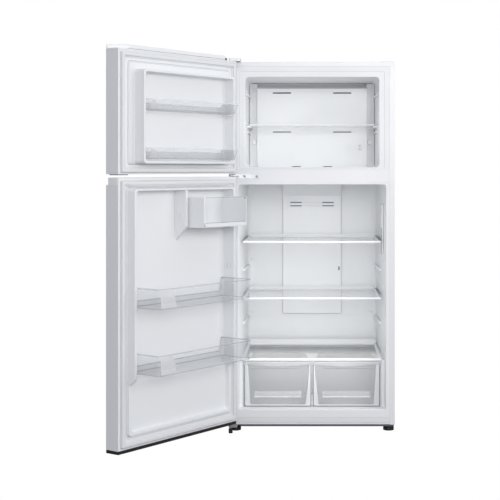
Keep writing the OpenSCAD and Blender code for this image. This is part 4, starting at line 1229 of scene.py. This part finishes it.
def bins():
    for name in ("freezer_top_bin", "freezer_bottom_bin"):
        z = span(name, 2)
        width = (-FREEZER_BIN_HALF, FREEZER_BIN_HALF)
        parts = door_bin(width, FREEZER_BIN_REACH, z, FREEZER_BIN_CUTS, BIN_TAPER, z[1] - 14,
                         rim=THIN_RIM)
        for side in (-1, 1):
            highlight = corner_highlight(side, FREEZER_BIN_HALF, FREEZER_BIN_REACH[1], z, FREEZER_BIN_CUTS,
                                 BIN_TAPER)
            parts.append((*highlight, PAINTED_BIN_HIGHLIGHT))
        piece(name.replace("_bin", "_rack"), name, parts, [name], door=True)
    for name in ("fridge_top_bin", "fridge_bottom_bin"):
        z = span(name, 2)
        width = (-FRIDGE_BIN_HALF, FRIDGE_BIN_HALF)
        parts = door_bin(width, FRIDGE_BIN_REACH, z, FRIDGE_BIN_CUTS, BIN_TAPER, z[0] + 26)
        # A brighter panel on the bin's front wall: painted highlight.
        panel = [(-192, z[0] + 6), (-214, z[1] - 8), (-290, z[1] - 8), (-287, z[0] + 6)]
        loop = [(-x, level) for x, level in reversed(panel)]
        parts.append((*prism(rounded_loop(loop, 4, 4), (rise(149.2), rise(150.4)), 0.3, "Y"), PAINTED_BIN_HIGHLIGHT))
        piece(name.replace("_bin", "_rack"), name, parts, [name], door=True)


def corner_highlight(side, half, front, z, cuts, taper):
    """A brighter panel inside a bin's cut-off front corner, wider at the bottom: a painted highlight for the
    light that the corner reflects.
    """
    places = []
    for level, cut, by in ((z[0] + 4, cuts[0], taper + 1.6), (z[1] - 6, cuts[1], 2.4)):
        places.append((side * (half - by), rise(front - by - cut), level))
        places.append((side * (half - by - cut), rise(front - by), level))
    way = Vector((-side, -1, 0)).normalized() * 0.8
    verts = places + [tuple(Vector(place) + way) for place in places]
    faces = [(0, 1, 3, 2), (4, 6, 7, 5), (0, 2, 6, 4), (1, 5, 7, 3), (0, 4, 5, 1), (2, 3, 7, 6)]
    return verts, faces


def dairy_box():
    z0, z1 = span("dairy_box", 2)
    x, w = (-300, -9), (-18, 122)
    wall = 2.5
    parts = [
        (*pad((x[0], x[0] + wall), (rise(w[0]), rise(w[1])), (z0, z1), 4, 0.9, "X"), MOULDED),
        (*pad((x[1] - wall, x[1]), (rise(w[0]), rise(w[1])), (z0, z1), 4, 0.9, "X"), MOULDED),
        (*pad((x[0] + 0.6, x[1] - 0.6), (rise(w[0]), rise(w[1])), (z0 + 0.1, z0 + 3), 4, 0.9, "Z"),
         MOULDED),
        (*pad((x[0] + 0.6, x[1] - 0.6), (rise(w[0]), rise(w[0] + wall)), (z0 + 0.3, z1 - 1), 3, 0.9),
         MOULDED),
        (*pad((x[0] + 0.4, x[1] - 0.4), (rise(w[1] - wall), rise(w[1])), (z0 + 0.2, z0 + 18), 3, 0.9),
         MOULDED),
    ]
    for side in (0, 1):
        post = (x[0], x[0] + 5) if side == 0 else (x[1] - 10, x[1])
        parts.append((*pad(post, (rise(w[1] - 1.8), rise(w[1])), (z0 + 0.2, z1), 2, 0.8), MOULDED))
    piece("dairy_tray", "dairy_box", parts, ["dairy_box"], door=True)
    low, high = span("dairy_flap", 2)
    flap_x = (x[0] + 5.6, x[1] - 10.6)
    flap = [
        (*pad(flap_x, (rise(117.2), rise(119.4)), (low + 0.4, high - 0.4), 4, 0.8), FLAP),
        (*pad(flap_x, (rise(116.6), rise(119.5)), (low + 0.2, low + 2.6), 1.2, 0.6), CLEAR_RIM_EDGE_SHADE),
        (*pad(flap_x, (rise(116.6), rise(119.5)), (high - 2.6, high - 0.2), 1.2, 0.6), CLEAR_RIM_EDGE_SHADE),
        (*tube([(x[0] + 0.6, rise(114), 1070), (x[0] + 6, rise(114), 1070)], 1.95, 16), CLEAR_RIM_EDGE_SHADE),
        (*tube([(x[1] - 6, rise(114), 1070), (x[1] - 0.6, rise(114), 1070)], 1.95, 16), CLEAR_RIM_EDGE_SHADE),
    ]
    for ear in ((x[0] + 3.2, x[0] + 5.8), (x[1] - 5.8, x[1] - 3.2)):
        flap.append((*pad(ear, (rise(110.6), rise(117.5)), (1066.2, 1074.2), 3, 0.6, "X"), CLEAR_RIM_EDGE_SHADE))
    piece("dairy_lid", "dairy_flap", flap, ["dairy_flap"], door=True)


def doors():
    door_wrap("freezer_door_sheet", "freezer_door_skin", "freezer_door")
    door_wrap("fridge_door_sheet", "fridge_door_skin", "fridge_door")
    freezer_door_liner()
    fridge_door_liner()
    door_seal("freezer_seal", "freezer_door_seal", "freezer_door", 1181, 1676)
    door_seal("fridge_seal", "fridge_door_seal", "fridge_door", 66, 1150)
    freezer_door_caps()
    fridge_door_caps()
    refinish("freezer_door_foam", FOAM)
    refinish("fridge_door_foam", FOAM)
    bins()
    dairy_box()


# ---- Studio ----

def soft_light(name, place, aim, size, power, mirrored=True):
    lamp = bpy.data.lights.new(name, "AREA")
    lamp.shape = "RECTANGLE"
    lamp.size, lamp.size_y = size
    lamp.energy = power
    made = bpy.data.objects.new(name, lamp)
    made.location = place
    made.visible_glossy = mirrored
    made.rotation_euler = (Vector(aim) - Vector(place)).to_track_quat("-Z", "Y").to_euler()
    bpy.context.scene.collection.objects.link(made)


def whiten_for_camera(finish):
    """Makes a surface plain white to the camera, while it still lights the object as it is."""
    nodes, links = finish.node_tree.nodes, finish.node_tree.links
    glow = nodes.new("ShaderNodeEmission")
    glow.inputs["Color"].default_value = (1, 1, 1, 1)
    path = nodes.new("ShaderNodeLightPath")
    mix = nodes.new("ShaderNodeMixShader")
    links.new(path.outputs["Is Camera Ray"], mix.inputs["Fac"])
    links.new(nodes["Principled BSDF"].outputs["BSDF"], mix.inputs[1])
    links.new(glow.outputs["Emission"], mix.inputs[2])
    links.new(mix.outputs["Shader"], nodes["Material Output"].inputs["Surface"])


def studio():
    mesh = bpy.data.meshes.new("studio_floor")
    mesh.from_pydata([(-30, -30, 0), (30, -30, 0), (30, 60, 0), (-30, 60, 0)], [], [(0, 1, 2, 3)])
    mesh.materials.append(FLOOR_GREY)
    whiten_for_camera(FLOOR_GREY)
    floor = bpy.data.objects.new("studio_floor", mesh)
    bpy.context.scene.collection.objects.link(floor)
    soft_light("key_softbox", (1.3, -4.0, 1.9), (0.0, 0.0, 1.2), (2.2, 1.6), 22)
    soft_light("lens_fill", (0.2, -5.6, 1.8), (0.0, 0.0, 1.2), (1.4, 1.2), 56)
    soft_light("top_softbox", (0.2, -1.4, 3.4), (0.0, -0.3, 0.8), (2.4, 2.0), 5)
    soft_light("right_softbox", (3.0, -1.8, 1.7), (-0.5, -0.4, 1.3), (1.6, 1.4), 36)
    soft_light("freezer_fill", (0, FRONT * MM - 0.03, 1.33), (0, 0.5, 1.6), (0.5, 0.2), 0.32, False)
    soft_light("fridge_fill", (0, FRONT * MM - 0.03, 0.64), (0, 1, 0.64), (0.55, 0.9), 1.25, False)
    for side in (-1, 1):
        soft_light("crisper_fill", (side * 0.158, FRONT * MM + 0.08, 0.21), (side * 0.158, 1, 0.15),
                   (0.22, 0.14), 0.26, False)
    world = bpy.data.worlds.new("studio_surround")
    bpy.context.scene.world = world
    world.use_nodes = True
    nodes, links = world.node_tree.nodes, world.node_tree.links
    ground = nodes["Background"]
    ground.inputs["Color"].default_value = (0.93, 0.95, 1.0, 1)
    ground.inputs["Strength"].default_value = 0.56
    seen = nodes.new("ShaderNodeBackground")
    seen.inputs["Color"].default_value = (1, 1, 1, 1)
    seen.inputs["Strength"].default_value = 1.0
    path = nodes.new("ShaderNodeLightPath")
    mix = nodes.new("ShaderNodeMixShader")
    links.new(path.outputs["Is Camera Ray"], mix.inputs["Fac"])
    links.new(ground.outputs["Background"], mix.inputs[1])
    links.new(seen.outputs["Background"], mix.inputs[2])
    links.new(mix.outputs["Shader"], nodes["World Output"].inputs["Surface"])


def camera():
    lens = bpy.data.cameras.new("product_camera")
    lens.sensor_width = 36
    lens.lens = 88.36
    lens.shift_x = -0.1241
    lens.shift_y = -0.1605
    lens.clip_end = 200
    made = bpy.data.objects.new("product_camera", lens)
    made.location = (0, -5.9335, 1.194)
    made.rotation_euler = (math.radians(90), 0, 0)
    bpy.context.scene.collection.objects.link(made)
    bpy.context.scene.camera = made
    bpy.context.scene.view_settings.view_transform = "Standard"


camera()
studio()
cabinet()
centre_rail()
front_rail()
freezer_liner()
fridge_liner()
back_covers()
side_lamp()
fittings()
feet()
machine_bay()
cooling()
freezer_shelf()
shelves()
crisper("left_crisper", "left_crisper", -1)
crisper("right_crisper", "right_crisper", 1)
doors()
